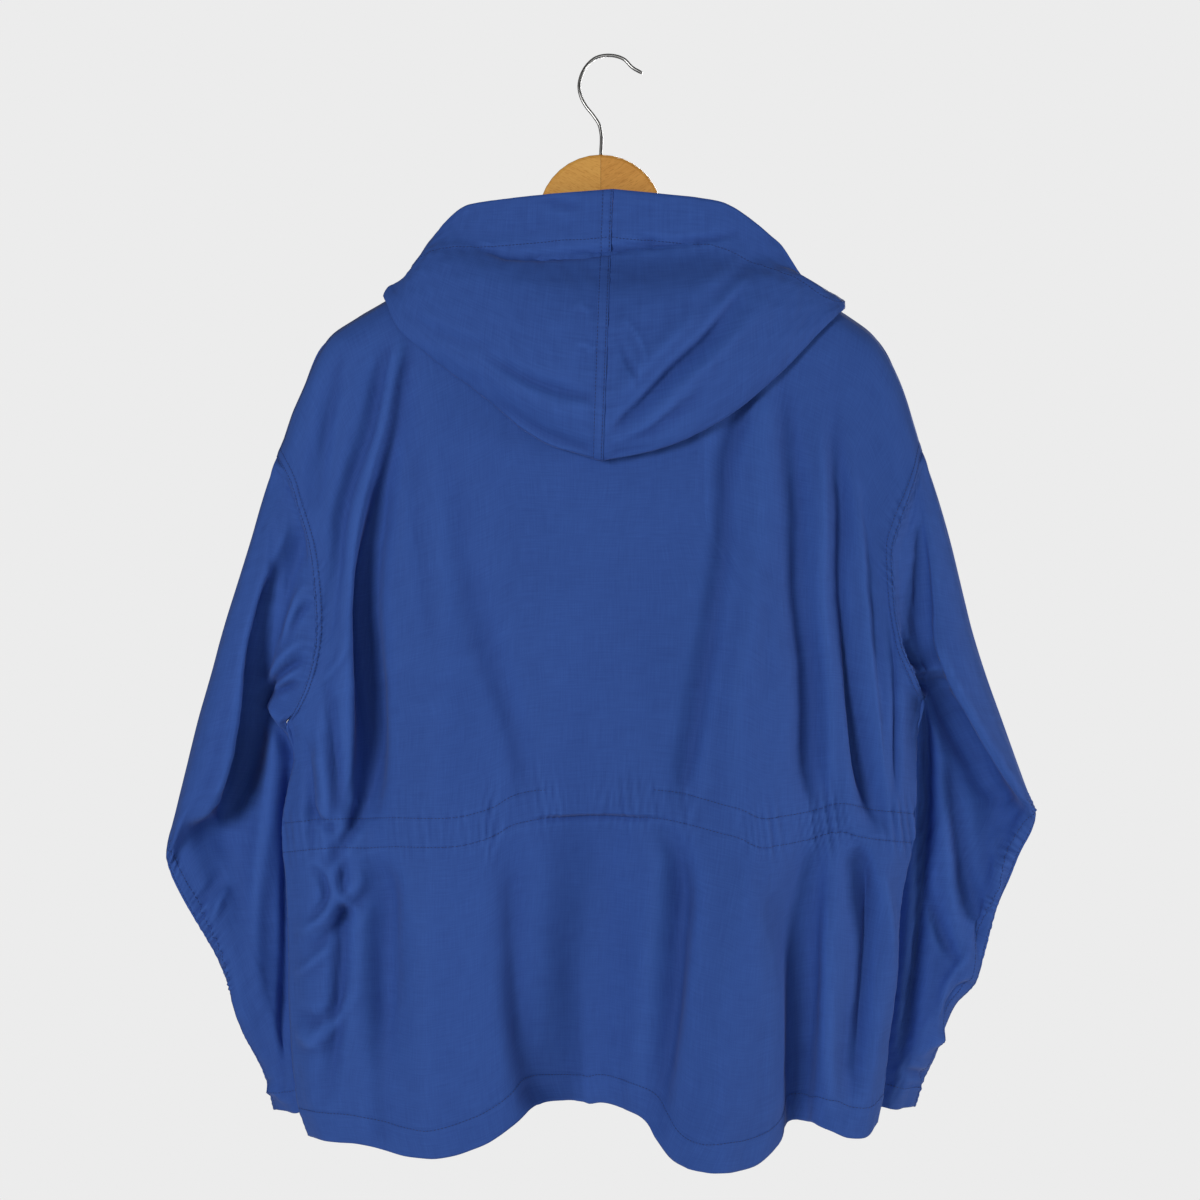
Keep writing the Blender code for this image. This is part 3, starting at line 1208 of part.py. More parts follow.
def add_hanger_arm(side, collection):
    """Half of the hanger, sawn from a board with its edges rounded over."""
    bm = bmesh.new()
    outline = hanger_outline(side)
    verts = [bm.verts.new((x, -HANGER_THICKNESS / 2, z)) for x, z in outline]
    face = bm.faces.new(verts)
    made = bmesh.ops.extrude_face_region(bm, geom=[face], use_keep_orig=True)
    top = [item for item in made["geom"] if isinstance(item, bmesh.types.BMVert)]
    bmesh.ops.translate(bm, vec=(0.0, HANGER_THICKNESS, 0.0), verts=top)
    bmesh.ops.recalc_face_normals(bm, faces=bm.faces[:])
    joint = STEM_X + (SEAM_GAP / 2 if side == "left" else -SEAM_GAP / 2)
    rims = []
    for edge in bm.edges:
        start, end = edge.verts
        level = abs(start.co.y - end.co.y) < SAME_PLACE
        at_joint = abs(start.co.x - joint) < SAME_PLACE and abs(end.co.x - joint) < SAME_PLACE
        if level and not at_joint:
            rims.append(edge)
    bmesh.ops.bevel(
        bm, geom=rims, offset=HANGER_EDGE, offset_type="OFFSET", segments=2, profile=0.5,
        affect="EDGES", clamp_overlap=True, material=-1,
    )
    add_object(f"hanger_arm_{side}", bm, collection, BEECH, BEECH_ROUGHNESS)


def add_hook(collection):
    """Bent steel wire that stands in the dome of the hanger."""
    curve = bpy.data.curves.new("hook_line", "CURVE")
    curve.dimensions = "3D"
    curve.bevel_depth = WIRE_DIAMETER / 2 * MM
    curve.bevel_resolution = 2
    curve.use_fill_caps = True
    spline = curve.splines.new("POLY")
    spline.points.add(HOOK_STEPS)
    for step in range(HOOK_STEPS + 1):
        x, z = along(HOOK_LINE, step / HOOK_STEPS)
        spline.points[step].co = (x * MM, 0.0, z * MM, 1.0)
    curve.materials.append(new_material("hook", STEEL, STEEL_ROUGHNESS, 1.0))
    item = bpy.data.objects.new("hook", curve)
    collection.objects.link(item)


def main():
    """Builds every piece of the garment and its hanger."""
    remove_scene_objects()
    collection = bpy.data.collections.new("anorak_pullover")
    bpy.context.scene.collection.children.link(collection)
    open_slit()
    BACK_GRID.follow_folds(BACK_FOLDS, BACK_LEADS)
    bodies = {part: grid.sheet(part) for part, grid in GRIDS.items()}
    sleeves = {side: sleeve_sheets(side) for side in ("left", "right")}
    armholes = {}
    for side, halves in sleeves.items():
        for part, half in halves.items():
            armholes[side, part] = armhole_steps(side, part, bodies[part], half)
    add_body(bodies, armholes, collection)
    for side, halves in sleeves.items():
        add_sleeve(side, halves, armholes, collection)
        add_hood(side, bodies, collection)
        add_hanger_arm(side, collection)
    add_hook(collection)


main()
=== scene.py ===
import math

import bmesh
import bpy
import numpy as np
from mathutils import Matrix, Vector


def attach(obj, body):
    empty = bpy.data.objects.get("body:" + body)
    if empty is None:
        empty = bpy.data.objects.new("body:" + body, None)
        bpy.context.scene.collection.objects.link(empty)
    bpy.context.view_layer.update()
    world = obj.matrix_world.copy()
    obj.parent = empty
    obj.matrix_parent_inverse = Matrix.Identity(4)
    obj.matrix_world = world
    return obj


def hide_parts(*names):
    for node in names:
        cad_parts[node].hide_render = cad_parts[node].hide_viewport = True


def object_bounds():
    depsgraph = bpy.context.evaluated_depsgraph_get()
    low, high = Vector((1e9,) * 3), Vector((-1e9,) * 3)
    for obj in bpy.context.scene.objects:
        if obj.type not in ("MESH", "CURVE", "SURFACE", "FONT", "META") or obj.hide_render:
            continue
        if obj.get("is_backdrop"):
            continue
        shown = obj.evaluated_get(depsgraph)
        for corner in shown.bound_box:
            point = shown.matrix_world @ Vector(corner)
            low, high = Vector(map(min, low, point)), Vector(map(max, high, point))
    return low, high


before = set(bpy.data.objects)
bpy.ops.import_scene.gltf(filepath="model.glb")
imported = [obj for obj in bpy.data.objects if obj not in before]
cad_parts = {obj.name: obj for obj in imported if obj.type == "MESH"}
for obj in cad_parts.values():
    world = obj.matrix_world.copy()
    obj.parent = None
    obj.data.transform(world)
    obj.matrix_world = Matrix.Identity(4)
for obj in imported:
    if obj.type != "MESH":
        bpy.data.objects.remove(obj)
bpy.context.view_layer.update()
scene = bpy.context.scene
# Places and sizes below are in millimetres, and MM turns them to metres.
MM = 0.001


# ---- Camera, floor and studio light ----
# A level camera behind the garment, at the height of its middle, a plain pale studio floor
# well below it, and big soft lamps round a pale room.
EYE = np.array([7.2, 1150.0, -467.0])
FRAME_WIDTH = 1032.0
SENSOR = 36.0
FLOOR_HEIGHT = -1360.0
FLOOR_HALF = 800.0
ROOM_GREY = "#ececec"
ROOM_LIGHT = 0.065


def linear(code):
    """Turns an sRGB hex colour to the linear values that shaders read."""
    parts = [int(code[i:i + 2], 16) / 255 for i in (1, 3, 5)]
    return [c / 12.92 if c <= 0.04045 else ((c + 0.055) / 1.055) ** 2.4 for c in parts] + [1.0]


def add(tree, kind, settings=(), inputs=(), **links):
    """Adds a node, sets its properties and its sockets, by name or number, and links sockets."""
    node = tree.nodes.new(kind)
    for name, value in dict(settings).items():
        setattr(node, name, value)
    for socket, value in dict(inputs).items():
        node.inputs[socket].default_value = value
    for name, socket in links.items():
        tree.links.new(socket, node.inputs[name.replace("_", " ")])
    return node


def new_material(name, **looks):
    """Starts a material, and returns it, its node tree and its shader, set to the looks."""
    material = bpy.data.materials.new(name)
    material.use_nodes = True
    shader = material.node_tree.nodes["Principled BSDF"]
    for look, value in looks.items():
        shader.inputs[look.replace("_", " ")].default_value = value
    return material, material.node_tree, shader


def in_scene(name, data):
    """Puts a mesh, a curve, a lamp or a camera into the scene, at the origin."""
    thing = bpy.data.objects.new(name, data)
    scene.collection.objects.link(thing)
    return thing


camera = in_scene("camera", bpy.data.cameras.new("camera"))
camera.data.sensor_width = SENSOR
camera.data.lens = SENSOR * EYE[1] / FRAME_WIDTH
camera.location = EYE * MM
camera.rotation_euler = (math.radians(90), 0, math.radians(180))
scene.camera = camera

scene.view_settings.view_transform = "Standard"

# The room looks pale grey to the camera, and lights the cloth with less than that, so that
# the hollows of the folds stay deep.
room = bpy.data.worlds.new("pale room")
scene.world = room
room.use_nodes = True
sky = room.node_tree
seen_room = add(sky, "ShaderNodeBackground", inputs={"Color": linear(ROOM_GREY), "Strength": 1.0})
soft_room = add(sky, "ShaderNodeBackground", inputs={"Color": linear("#ffffff"), "Strength": ROOM_LIGHT})
ray = add(sky, "ShaderNodeLightPath")
either = add(sky, "ShaderNodeMixShader")
sky.links.new(ray.outputs["Is Camera Ray"], either.inputs[0])
sky.links.new(soft_room.outputs[0], either.inputs[1])
sky.links.new(seen_room.outputs[0], either.inputs[2])
sky.links.new(either.outputs[0], sky.nodes["World Output"].inputs["Surface"])

# Each lamp's place in metres, its watts, and its width in metres.
LAMPS = {
    "key lamp": ((1.2, 1.8, -0.25), 25.0, 0.7),
    "fill lamp": ((-0.4, 2.3, -0.8), 8.5, 1.4),
    "side lamp": ((-1.6, 0.42, -0.55), 10.0, 0.5),
    "front lamp": ((-0.6, -1.8, 0.3), 45.0, 1.2),
}
for name, (place, watts, width) in LAMPS.items():
    lamp = in_scene(name, bpy.data.lights.new(name, "AREA"))
    lamp.data.energy = watts
    lamp.data.size = width
    lamp.location = place
    aim = Vector((0, 0, EYE[2] * MM)) - Vector(place)
    lamp.rotation_euler = aim.to_track_quat("-Z", "Y").to_euler()


def floor_paint(name, dark, pale):
    """Matt floor paint, rolled on: pale grey, with a faint speckle about 25 mm across."""
    material, tree, shader = new_material(name, Roughness=0.9)
    speckle = add(tree, "ShaderNodeTexNoise", inputs={"Scale": 40.0})
    tone = add(tree, "ShaderNodeMix", {"data_type": "RGBA"}, {6: linear(dark), 7: linear(pale)},
               Factor=speckle.outputs["Fac"])
    tree.links.new(tone.outputs[2], shader.inputs["Base Color"])
    return material


grid = bmesh.new()
bmesh.ops.create_grid(grid, x_segments=2, y_segments=2, size=FLOOR_HALF * MM)
bmesh.ops.translate(grid, verts=grid.verts, vec=(0, 0, FLOOR_HEIGHT * MM))
floor_mesh = bpy.data.meshes.new("floor")
grid.to_mesh(floor_mesh)
grid.free()
floor_mesh.materials.append(floor_paint("matt pale floor paint", "#e6e6e6", "#eeeeee"))
floor = in_scene("floor", floor_mesh)
floor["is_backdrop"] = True


# ---- Back panel ----
# One piece of plain-woven cotton from the shoulders to the hem, with drop shoulders. It hangs
# from the hanger in long folds.
CLOTH = 0.9
# How much the dye pales on fine crests, as wear, and darkens in fine grooves and creases, as painted
# shade.
WEAR_AND_GROOVE_SHADE = 0.35
SLUB_WIDTH = 1.1 * MM
SLUB_LENGTH = 24 * MM
CRINKLE = 9 * MM
LEFT, RIGHT, UP, DOWN = (1, 0, 0), (-1, 0, 0), (0, 0, 1), (0, 0, -1)


def cotton(name, deep, light):
    """Washed plain-woven cotton poplin, piece-dyed blue: matt and a little dusty, with slubs both ways,
    paler on the crests of seams and puckers as wear, and darker in fine grooves and creases as painted
    shade."""
    material, tree, shader = new_material(
        name, Roughness=0.82, Specular_IOR_Level=0.25, Sheen_Weight=0.08, Sheen_Roughness=0.4)
    cut = add(tree, "ShaderNodeUVMap", {"uv_map": "cut"})
    # Threads are 0.25 mm apart, too fine to show, so a slub is drawn 1.1 mm across.
    threads = []
    for stretch in ((1 / SLUB_WIDTH, 1 / SLUB_LENGTH, 1), (1 / SLUB_LENGTH, 1 / SLUB_WIDTH, 1)):
        way = add(tree, "ShaderNodeMapping", inputs={"Scale": stretch}, Vector=cut.outputs["UV"])
        threads.append(add(tree, "ShaderNodeTexNoise", inputs={"Scale": 1.0, "Detail": 3.0},
                           Vector=way.outputs["Vector"]))
    weave = add(tree, "ShaderNodeMath", {"operation": "ADD"})
    for k, thread in enumerate(threads):
        tree.links.new(thread.outputs["Fac"], weave.inputs[k])
    place = add(tree, "ShaderNodeTexCoord")
    # The dye is cloudy in patches of about 70 mm.
    cloudy = add(tree, "ShaderNodeTexNoise", inputs={"Scale": 14.0, "Detail": 4.0},
                 Vector=place.outputs["Object"])
    mottle = add(tree, "ShaderNodeMath", {"operation": "MULTIPLY_ADD"}, {1: 0.35, 2: -0.42})
    tree.links.new(cloudy.outputs["Fac"], mottle.inputs[0])
    shade = add(tree, "ShaderNodeMath", {"operation": "MULTIPLY_ADD"}, {1: 0.75})
    tree.links.new(weave.outputs[0], shade.inputs[0])
    tree.links.new(mottle.outputs[0], shade.inputs[2])
    # Painted shade and wear: the dye darkens in the cloth's fine grooves and creases and pales on its
    # crests.
    wear_and_shade_map = add(tree, "ShaderNodeAttribute", {"attribute_name": "crest_wear_and_groove_shade"})
    dye_wear_and_shade = add(tree, "ShaderNodeMath", {"operation": "ADD", "use_clamp": True})
    tree.links.new(shade.outputs[0], dye_wear_and_shade.inputs[0])
    tree.links.new(wear_and_shade_map.outputs["Fac"], dye_wear_and_shade.inputs[1])
    dye = add(tree, "ShaderNodeMix", {"data_type": "RGBA"}, {6: linear(deep), 7: linear(light)},
              Factor=dye_wear_and_shade.outputs[0])
    tree.links.new(dye.outputs[2], shader.inputs["Base Color"])
    crinkle = add(tree, "ShaderNodeTexNoise", inputs={"Scale": 1 / CRINKLE, "Detail": 3.0},
                  Vector=place.outputs["Object"])
    relief = add(tree, "ShaderNodeBump", inputs={"Strength": 0.5, "Distance": 0.3 * MM},
                 Height=crinkle.outputs["Fac"])
    nap = add(tree, "ShaderNodeBump", inputs={"Strength": 0.35, "Distance": 0.15 * MM},
              Height=weave.outputs[0], Normal=relief.outputs["Normal"])
    tree.links.new(nap.outputs["Normal"], shader.inputs["Normal"])
    return material


blue_cotton = cotton("washed cotton poplin", "#29488f", "#375ca9")


def corners(node, start, along, away, columns, rows, twin=3.2, last_is_tip=False):
    """Reads the corner places of a cloth's outer wall, row by row, from its solid's mesh.

    start is a corner of the cloth, and along and away point from it along the first row
    and up the first column. The inner wall's corners are closer than twin at the rim. The
    last row may be a tip, a single corner, as at a sleeve's head."""
    solid = bmesh.new()
    solid.from_mesh(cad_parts[node].data)
    bmesh.ops.remove_doubles(solid, verts=solid.verts, dist=0.01 * MM)
    twin = twin * MM

    def near(v):
        return {edge.other_vert(v) for edge in v.link_edges}

    def apart(v, w):
        return (v.co - w.co).length > twin

    def next_on_rim(here, way, used):
        found = []
        for v in near(here) - used:
            at_rim = any(not apart(v, w) for w in near(v))
            beside = near(here) & near(v)
            if at_rim and apart(v, here) and any(apart(w, here) and apart(w, v) for w in beside):
                found.append(v)
        return max(found, key=lambda v: (v.co - here.co).normalized().dot(way.normalized()))

    line = [min(solid.verts, key=lambda v: (v.co - Vector(start) * MM).length)]
    way = Vector(along)
    while len(line) <= columns:
        line.append(next_on_rim(line[-1], way, set(line)))
        way = line[-1].co - line[-2].co
    wall = [line]
    way = Vector(away)
    for row in range(rows - last_is_tip):
        low = wall[-1]
        high = [next_on_rim(low[0], way, set(low) | set(wall[max(row - 1, 0)]))]
        way = high[0].co - low[0].co
        for a, b in zip(low, low[1:]):
            d = high[-1]
            both = near(b) & near(d) - {a} - set(low)
            high.append(min(both, key=lambda v: (v.co - b.co - d.co + a.co).length))
        wall.append(high)
    places = [[v.co[:] for v in row] for row in wall]
    if last_is_tip:
        tips = near(wall[-1][2]) & near(wall[-1][3]) - set(wall[-1]) - set(wall[-2])
        tip = max(tips, key=lambda v: v.co.z)
        places.append([tip.co[:]] * (columns + 1))
    solid.free()
    return np.array(places) / MM


def through(points, steps):
    """Smooth curves through the points along the first axis, with steps[k] parts in gap k."""
    chord = np.linalg.norm(np.diff(points, axis=0), axis=2)[..., None] + 1e-6
    slope = np.diff(points, axis=0) / chord
    tangent = np.empty_like(points)
    tangent[1:-1] = (chord[1:] * slope[:-1] + chord[:-1] * slope[1:]) / (chord[:-1] + chord[1:])
    tangent[0], tangent[-1] = slope[0], slope[-1]
    parts = []
    for k, count in enumerate(steps):
        t = (np.arange(count) / count)[:, None, None]
        h = chord[k]
        parts.append(
            (2 * t ** 3 - 3 * t ** 2 + 1) * points[k] + (t ** 3 - 2 * t ** 2 + t) * h * tangent[k]
            + (3 * t ** 2 - 2 * t ** 3) * points[k + 1] + (t ** 3 - t ** 2) * h * tangent[k + 1])
    return np.concatenate(parts + [points[-1:]])


def fine_wall(wall, step, rows=(), columns=()):
    """The same cloth with corners about step apart, still through the given ones.

    rows and columns give the gaps that need a finer step: {gap: step}. It returns the wall
    and the fine row of each given one."""
    places = []
    for finer in (dict(rows), dict(columns)):
        gaps = np.linalg.norm(np.diff(wall, axis=0), axis=2).mean(axis=1)
        wanted = np.array([finer.get(k, finer.get(k - len(gaps), step)) for k in range(len(gaps))])
        steps = np.maximum(1, np.round(gaps / wanted)).astype(int)
        places.append(np.concatenate([[0], steps.cumsum()]))
        wall = through(wall, steps).transpose(1, 0, 2)
    return wall, places[0], places[1]


def softened(wall, turns):
    """The same wall with the turns of its folds rounded off, front to back only."""
    wall = wall.copy()
    for turn in range(turns):
        wall[:, 1:-1, 1] = (wall[:, :-2, 1] + 2 * wall[:, 1:-1, 1] + wall[:, 2:, 1]) / 4
    return wall


def normals(wall):
    """Outward normals of a wall, whose rows run with the cloth on their left."""
    across = np.gradient(wall, axis=1)
    up = np.gradient(wall, axis=0)
    out = np.cross(across, up)
    size = np.linalg.norm(out, axis=2)[..., None]
    return out / np.maximum(size, 1e-6)


def in_view(wall):
    """Where each place of a wall shows in the hanger's plane, seen from the eye: x, z."""
    share = EYE[1] / (EYE[1] - wall[..., 1])
    return EYE[0] + (wall[..., 0] - EYE[0]) * share, EYE[2] + (wall[..., 2] - EYE[2]) * share


BEND_PARTS = 6
CREASE_REACH = 2.6


def crease(x, z, sides, line):
    """Height of one soft ridge, or of a trough where it is below 0, that runs along a line.

    line is a table of x, z, height, and sides are its half widths: first on the wearer's
    left of a line that runs down, or below one that runs to the wearer's right."""
    points = np.array(line, float)
    if len(points) > 2:
        points = through(points[:, None, :], [BEND_PARTS] * (len(points) - 1))[:, 0, :]
    reach = CREASE_REACH * max(sides)
    height = np.zeros(x.shape)
    near = ((x > points[:, 0].min() - reach) & (x < points[:, 0].max() + reach)
            & (z > points[:, 1].min() - reach) & (z < points[:, 1].max() + reach))
    px, pz = x[near], z[near]
    least = np.full(px.shape, np.inf)
    value = np.zeros(px.shape)
    for (ax, az, ah), (bx, bz, bh) in zip(points, points[1:]):
        dx, dz = bx - ax, bz - az
        long = math.hypot(dx, dz) + 1e-9
        t = np.clip(((px - ax) * dx + (pz - az) * dz) / long ** 2, 0, 1)
        gap = np.hypot(px - ax - t * dx, pz - az - t * dz)
        side = dx * (pz - az) - dz * (px - ax)
        width = np.where(side > 0, sides[0], sides[1])
        closer = gap < least
        least = np.where(closer, gap, least)
        value = np.where(closer, (ah + t * (bh - ah)) * np.exp(-(gap / width) ** 2), value)
    height[near] = value
    return height


def creased(x, z, table):
    """Sum of all the creases of a table {name: (sides, line)}."""
    return sum(crease(x, z, *form) for form in table.values())


def facing(values, edge):
    """The values of a wall, turned so that an edge of the cloth is the first row."""
    values = values.swapaxes(0, 1) if "column" in edge else values
    return values[::-1] if "last" in edge else values


def from_edge(wall, edge):
    """How far each place is in from an edge of the cloth, and along it."""
    turned = facing(wall, edge)
    inwards = np.linalg.norm(np.diff(turned, axis=0), axis=2).cumsum(axis=0)
    inwards = np.concatenate([np.zeros((1, inwards.shape[1])), inwards])
    beside = np.linalg.norm(np.diff(turned[0], axis=0), axis=1).cumsum()
    beside = np.broadcast_to(np.concatenate([[0], beside]), inwards.shape)
    both = []
    for values in (inwards, beside):
        values = values[::-1] if "last" in edge else values
        both.append(values.swapaxes(0, 1) if "column" in edge else values)
    return both


def soft_step(value, start, end):
    """0 before start, 1 after end, and smooth between them."""
    t = np.clip((value - start) / (end - start), 0, 1)
    return t * t * (3 - 2 * t)


def uneven(along, pitch, turn=0.0):
    """A wave along a seam whose pitch and strength wander, as cloth drawn up by stitches does."""
    wander = 2.2 * np.sin(along / 17.0 + turn) + 1.6 * np.sin(along / 7.1 + 2 * turn)
    strength = 0.55 + 0.3 * np.sin(along / 23.0 + 3 * turn) + 0.25 * np.sin(along / 9.7 + turn)
    coarse = 0.6 * np.sin(along * 2 * math.pi / (1.7 * pitch) - wander)
    return (np.sin(along * 2 * math.pi / pitch + wander) + coarse) * strength


# A felled seam: its width, and how far its two rows of stitches run in from its sides and
# dip into it.
FELL = 8.6
FELL_ROW = 1.4
FELL_EDGE = 1.2
FELL_DIP = 0.55


def sewn_rows(width):
    """How far in the two rows of stitches of a felled seam run."""
    return FELL_ROW, width - FELL_EDGE


def felled(inset, along, width=FELL, thick=1.0, pucker=0.85, pitch=7.0, turn=0.0):
    """A flat-felled seam along an edge: a double band, sewn down near both of its sides,
    with the cloth drawn up into short puckers across it."""
    band = thick * (1 - soft_step(inset, width - FELL_EDGE, width + 0.6))
    for row in sewn_rows(width):
        band = band - FELL_DIP * np.exp(-((inset - row) / 1.3) ** 2)
    return band + pucker * uneven(along, pitch, turn) * np.exp(-(inset / (width * 1.6)) ** 2)


def turned_edge(wall, depth, thick=0.5, dip=0.0, pucker=0.0, pitch=10.0, reach=9.0):
    """A hem or casing turned up along the first row: double cloth as far in as depth, where
    its row of stitches dips in and draws up faint puckers on both sides."""
    inset, along = from_edge(wall, "first row")
    double = thick * (1 - soft_step(inset, depth - 0.5, depth + 1.5))
    dipped = dip * np.exp(-((inset - depth) / 1.5) ** 2)
    return double - dipped + pucker * uneven(along, pitch) * np.exp(-((inset - depth) / reach) ** 2)


def gathered(x, z, lower, upper, strength, reach, turn):
    """Gathers where the casing's two rows of stitches draw the cloth in, fading beyond them."""
    beyond = np.maximum(0, np.maximum(z - upper, lower - z))
    slanting = -x + 0.12 * (z - lower)
    return strength * np.exp(-(beyond / reach) ** 1.4) * uneven(slanting, GATHER_PITCH, turn)


WAVES = 14


def crumpled(wall, size, height, seed):
    """Faint crumple all over the cloth, about size across."""
    picks = np.random.default_rng(seed)
    u = np.concatenate([[0], np.linalg.norm(np.diff(wall, axis=1), axis=2).mean(axis=0).cumsum()])
    v = np.concatenate([[0], np.linalg.norm(np.diff(wall, axis=0), axis=2).mean(axis=1).cumsum()])
    u, v = np.meshgrid(u, v)
    total = np.zeros(u.shape)
    for k in range(WAVES):
        angle, phase = picks.uniform(0, math.pi), picks.uniform(0, 2 * math.pi)
        pitch = size * picks.uniform(0.6, 1.8)
        bend = 1.5 * np.sin(v / size / 2.3 + phase) + 1.5 * np.sin(u / size / 3.1 - phase)
        total += np.sin((u * math.cos(angle) + v * math.sin(angle)) * 2 * math.pi / pitch + phase + bend)
    return total * height / WAVES ** 0.5


def height_behind(height):
    """The height with its finest forms smoothed away."""
    for turn in range(3):
        padded = np.pad(height, 1, mode="edge")
        height = (padded[:-2, 1:-1] + padded[2:, 1:-1] + padded[1:-1, :-2] + padded[1:-1, 2:]) / 4
    return height


def cloth_piece(name, wall, height, material, cut=None):
    """Makes a piece of cloth from its outer wall, raised by height, with CLOTH behind it.

    cut is true where the cloth is cut away. It returns the piece and the raised wall."""
    # The fine crests and grooves of the height are kept for the dye: paler crests as wear, darker grooves
    # as painted shade.
    crest_wear_and_groove_shade = np.clip(height - height_behind(height), -1.2, 1.2)
    wall = wall + normals(wall) * height[..., None]
    rows, columns = wall.shape[0] - 1, wall.shape[1] - 1
    shell = bmesh.new()
    bmesh.ops.create_grid(shell, x_segments=columns, y_segments=rows, size=1.0)
    mesh = bpy.data.meshes.new(name)
    shell.to_mesh(mesh)
    shell.free()
    flat = np.zeros(len(mesh.vertices) * 3)
    mesh.vertices.foreach_get("co", flat)
    flat = flat.reshape(-1, 3)
    column = np.round((flat[:, 0] + 1) / 2 * columns).astype(int)
    row = np.round((flat[:, 1] + 1) / 2 * rows).astype(int)
    mesh.vertices.foreach_set("co", (wall[row, column] * MM).ravel())
    # Across and along the cut, in metres, which the weave follows.
    across = np.linalg.norm(np.diff(wall, axis=1), axis=2).mean(axis=0).cumsum()
    along = np.linalg.norm(np.diff(wall, axis=0), axis=2).mean(axis=1).cumsum()
    across = np.concatenate([[0], across]) * MM
    along = np.concatenate([[0], along]) * MM
    corner = np.zeros(len(mesh.loops), int)
    mesh.loops.foreach_get("vertex_index", corner)
    cut_map = mesh.uv_layers.new(name="cut")
    cut_map.uv.foreach_set("vector", np.stack([across[column[corner]], along[row[corner]]], 1).ravel())
    dye_wear_and_shade = mesh.attributes.new("crest_wear_and_groove_shade", "FLOAT", "POINT")
    dye_wear_and_shade.data.foreach_set("value", crest_wear_and_groove_shade[row, column] * WEAR_AND_GROOVE_SHADE)
    if cut is not None:
        shell = bmesh.new()
        shell.from_mesh(mesh)
        shell.verts.ensure_lookup_table()
        gone = [f for f in shell.faces if all(cut[row[v.index], column[v.index]] for v in f.verts)]
        bmesh.ops.delete(shell, geom=gone, context="FACES")
        shell.to_mesh(mesh)
        shell.free()
    mesh.shade_smooth()
    mesh.materials.append(material)
    piece = in_scene(name, mesh)
    inner = piece.modifiers.new("inner side", "SOLIDIFY")
    inner.thickness = CLOTH * MM
    inner.offset = -1.0
    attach(piece, "root")
    return piece, wall


def line_in(wall, edge, inset, low=-1e4, high=1e4):
    """Places and outward normals along an edge of the cloth, inset from it, between two
    heights."""
    places, out = facing(wall, edge), facing(normals(wall), edge)
    inwards = facing(from_edge(wall, edge)[0], edge)
    row = np.clip((inwards < inset).sum(axis=0), 1, len(inwards) - 1)
    column = np.arange(inwards.shape[1])
    before, after = inwards[row - 1, column], inwards[row, column]
    t = ((inset - before) / np.maximum(after - before, 1e-6))[:, None]
    line = places[row - 1, column] * (1 - t) + places[row, column] * t
    ways = out[row - 1, column] * (1 - t) + out[row, column] * t
    keep = (line[:, 2] > low) & (line[:, 2] < high)
    return line[keep], ways[keep]


TWIST = 0.8 * MM


def thread(name, tint):
    """Twisted polyester sewing thread, blue and darker than the cloth as painted shade of the stitch rows,
    and darker still between its twists as painted shade: a faint satin gleam.
    """
    material, tree, shader = new_material(name, Roughness=0.55)
    place = add(tree, "ShaderNodeTexCoord")
    twist = add(tree, "ShaderNodeTexNoise", inputs={"Scale": 1 / TWIST, "Detail": 1.0},
                Vector=place.outputs["Object"])
    shadow = [c * 0.7 for c in linear(tint)[:3]] + [1.0]
    dye = add(tree, "ShaderNodeMix", {"data_type": "RGBA"}, {6: shadow, 7: linear(tint)},
              Factor=twist.outputs["Fac"])
    tree.links.new(dye.outputs[2], shader.inputs["Base Color"])
    relief = add(tree, "ShaderNodeBump", inputs={"Strength": 0.4, "Distance": 0.05 * MM},
                 Height=twist.outputs["Fac"])
    tree.links.new(relief.outputs["Normal"], shader.inputs["Normal"])
    return material


# The thread is darker than the cloth's blue, as painted shade along the rows of stitches.
thread_darkened_as_shade = thread("twisted blue thread", "#1e3572")
# A stitch's half length, half width and half height, and how high it lies on the cloth.
STITCH = (1.2, 0.34, 0.26)
STITCH_PITCH = 3.0
STITCH_LIFT = 0.1


def stitching(name, lines):
    """Rows of lock stitches that lie on the cloth, joined into one piece."""
    made = bmesh.new()
    for line, ways in lines:
        along = np.concatenate([[0], np.linalg.norm(np.diff(line, axis=0), axis=1).cumsum()])
        count = int(along[-1] / STITCH_PITCH)
        at = (np.arange(count) + 0.5) * along[-1] / max(count, 1)
        spot = np.stack([np.interp(at, along, line[:, k]) for k in range(3)], 1)
        ahead = np.stack([np.interp(at + 0.5, along, line[:, k]) for k in range(3)], 1)
        out = np.stack([np.interp(at, along, ways[:, k]) for k in range(3)], 1)
        for here, there, way in zip(spot, ahead, out):
            way = Vector(way).normalized()
            run = Vector(there - here).normalized()
            run = (run - way * run.dot(way)).normalized()
            across = way.cross(run)
            axes = [Vector(v) * size for v, size in zip((run, across, way), STITCH)]
            seat = Matrix([list(row) for row in zip(*axes)]).to_4x4()
            seat.translation = Vector(here) + way * STITCH_LIFT
            bmesh.ops.create_icosphere(made, subdivisions=1, radius=1.0, matrix=seat)
    bmesh.ops.scale(made, verts=made.verts, vec=(MM, MM, MM))
    mesh = bpy.data.meshes.new(name)
    made.to_mesh(mesh)
    made.free()
    mesh.shade_smooth()
    mesh.materials.append(thread_darkened_as_shade)
    piece = in_scene(name, mesh)
    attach(piece, "root")
    return piece


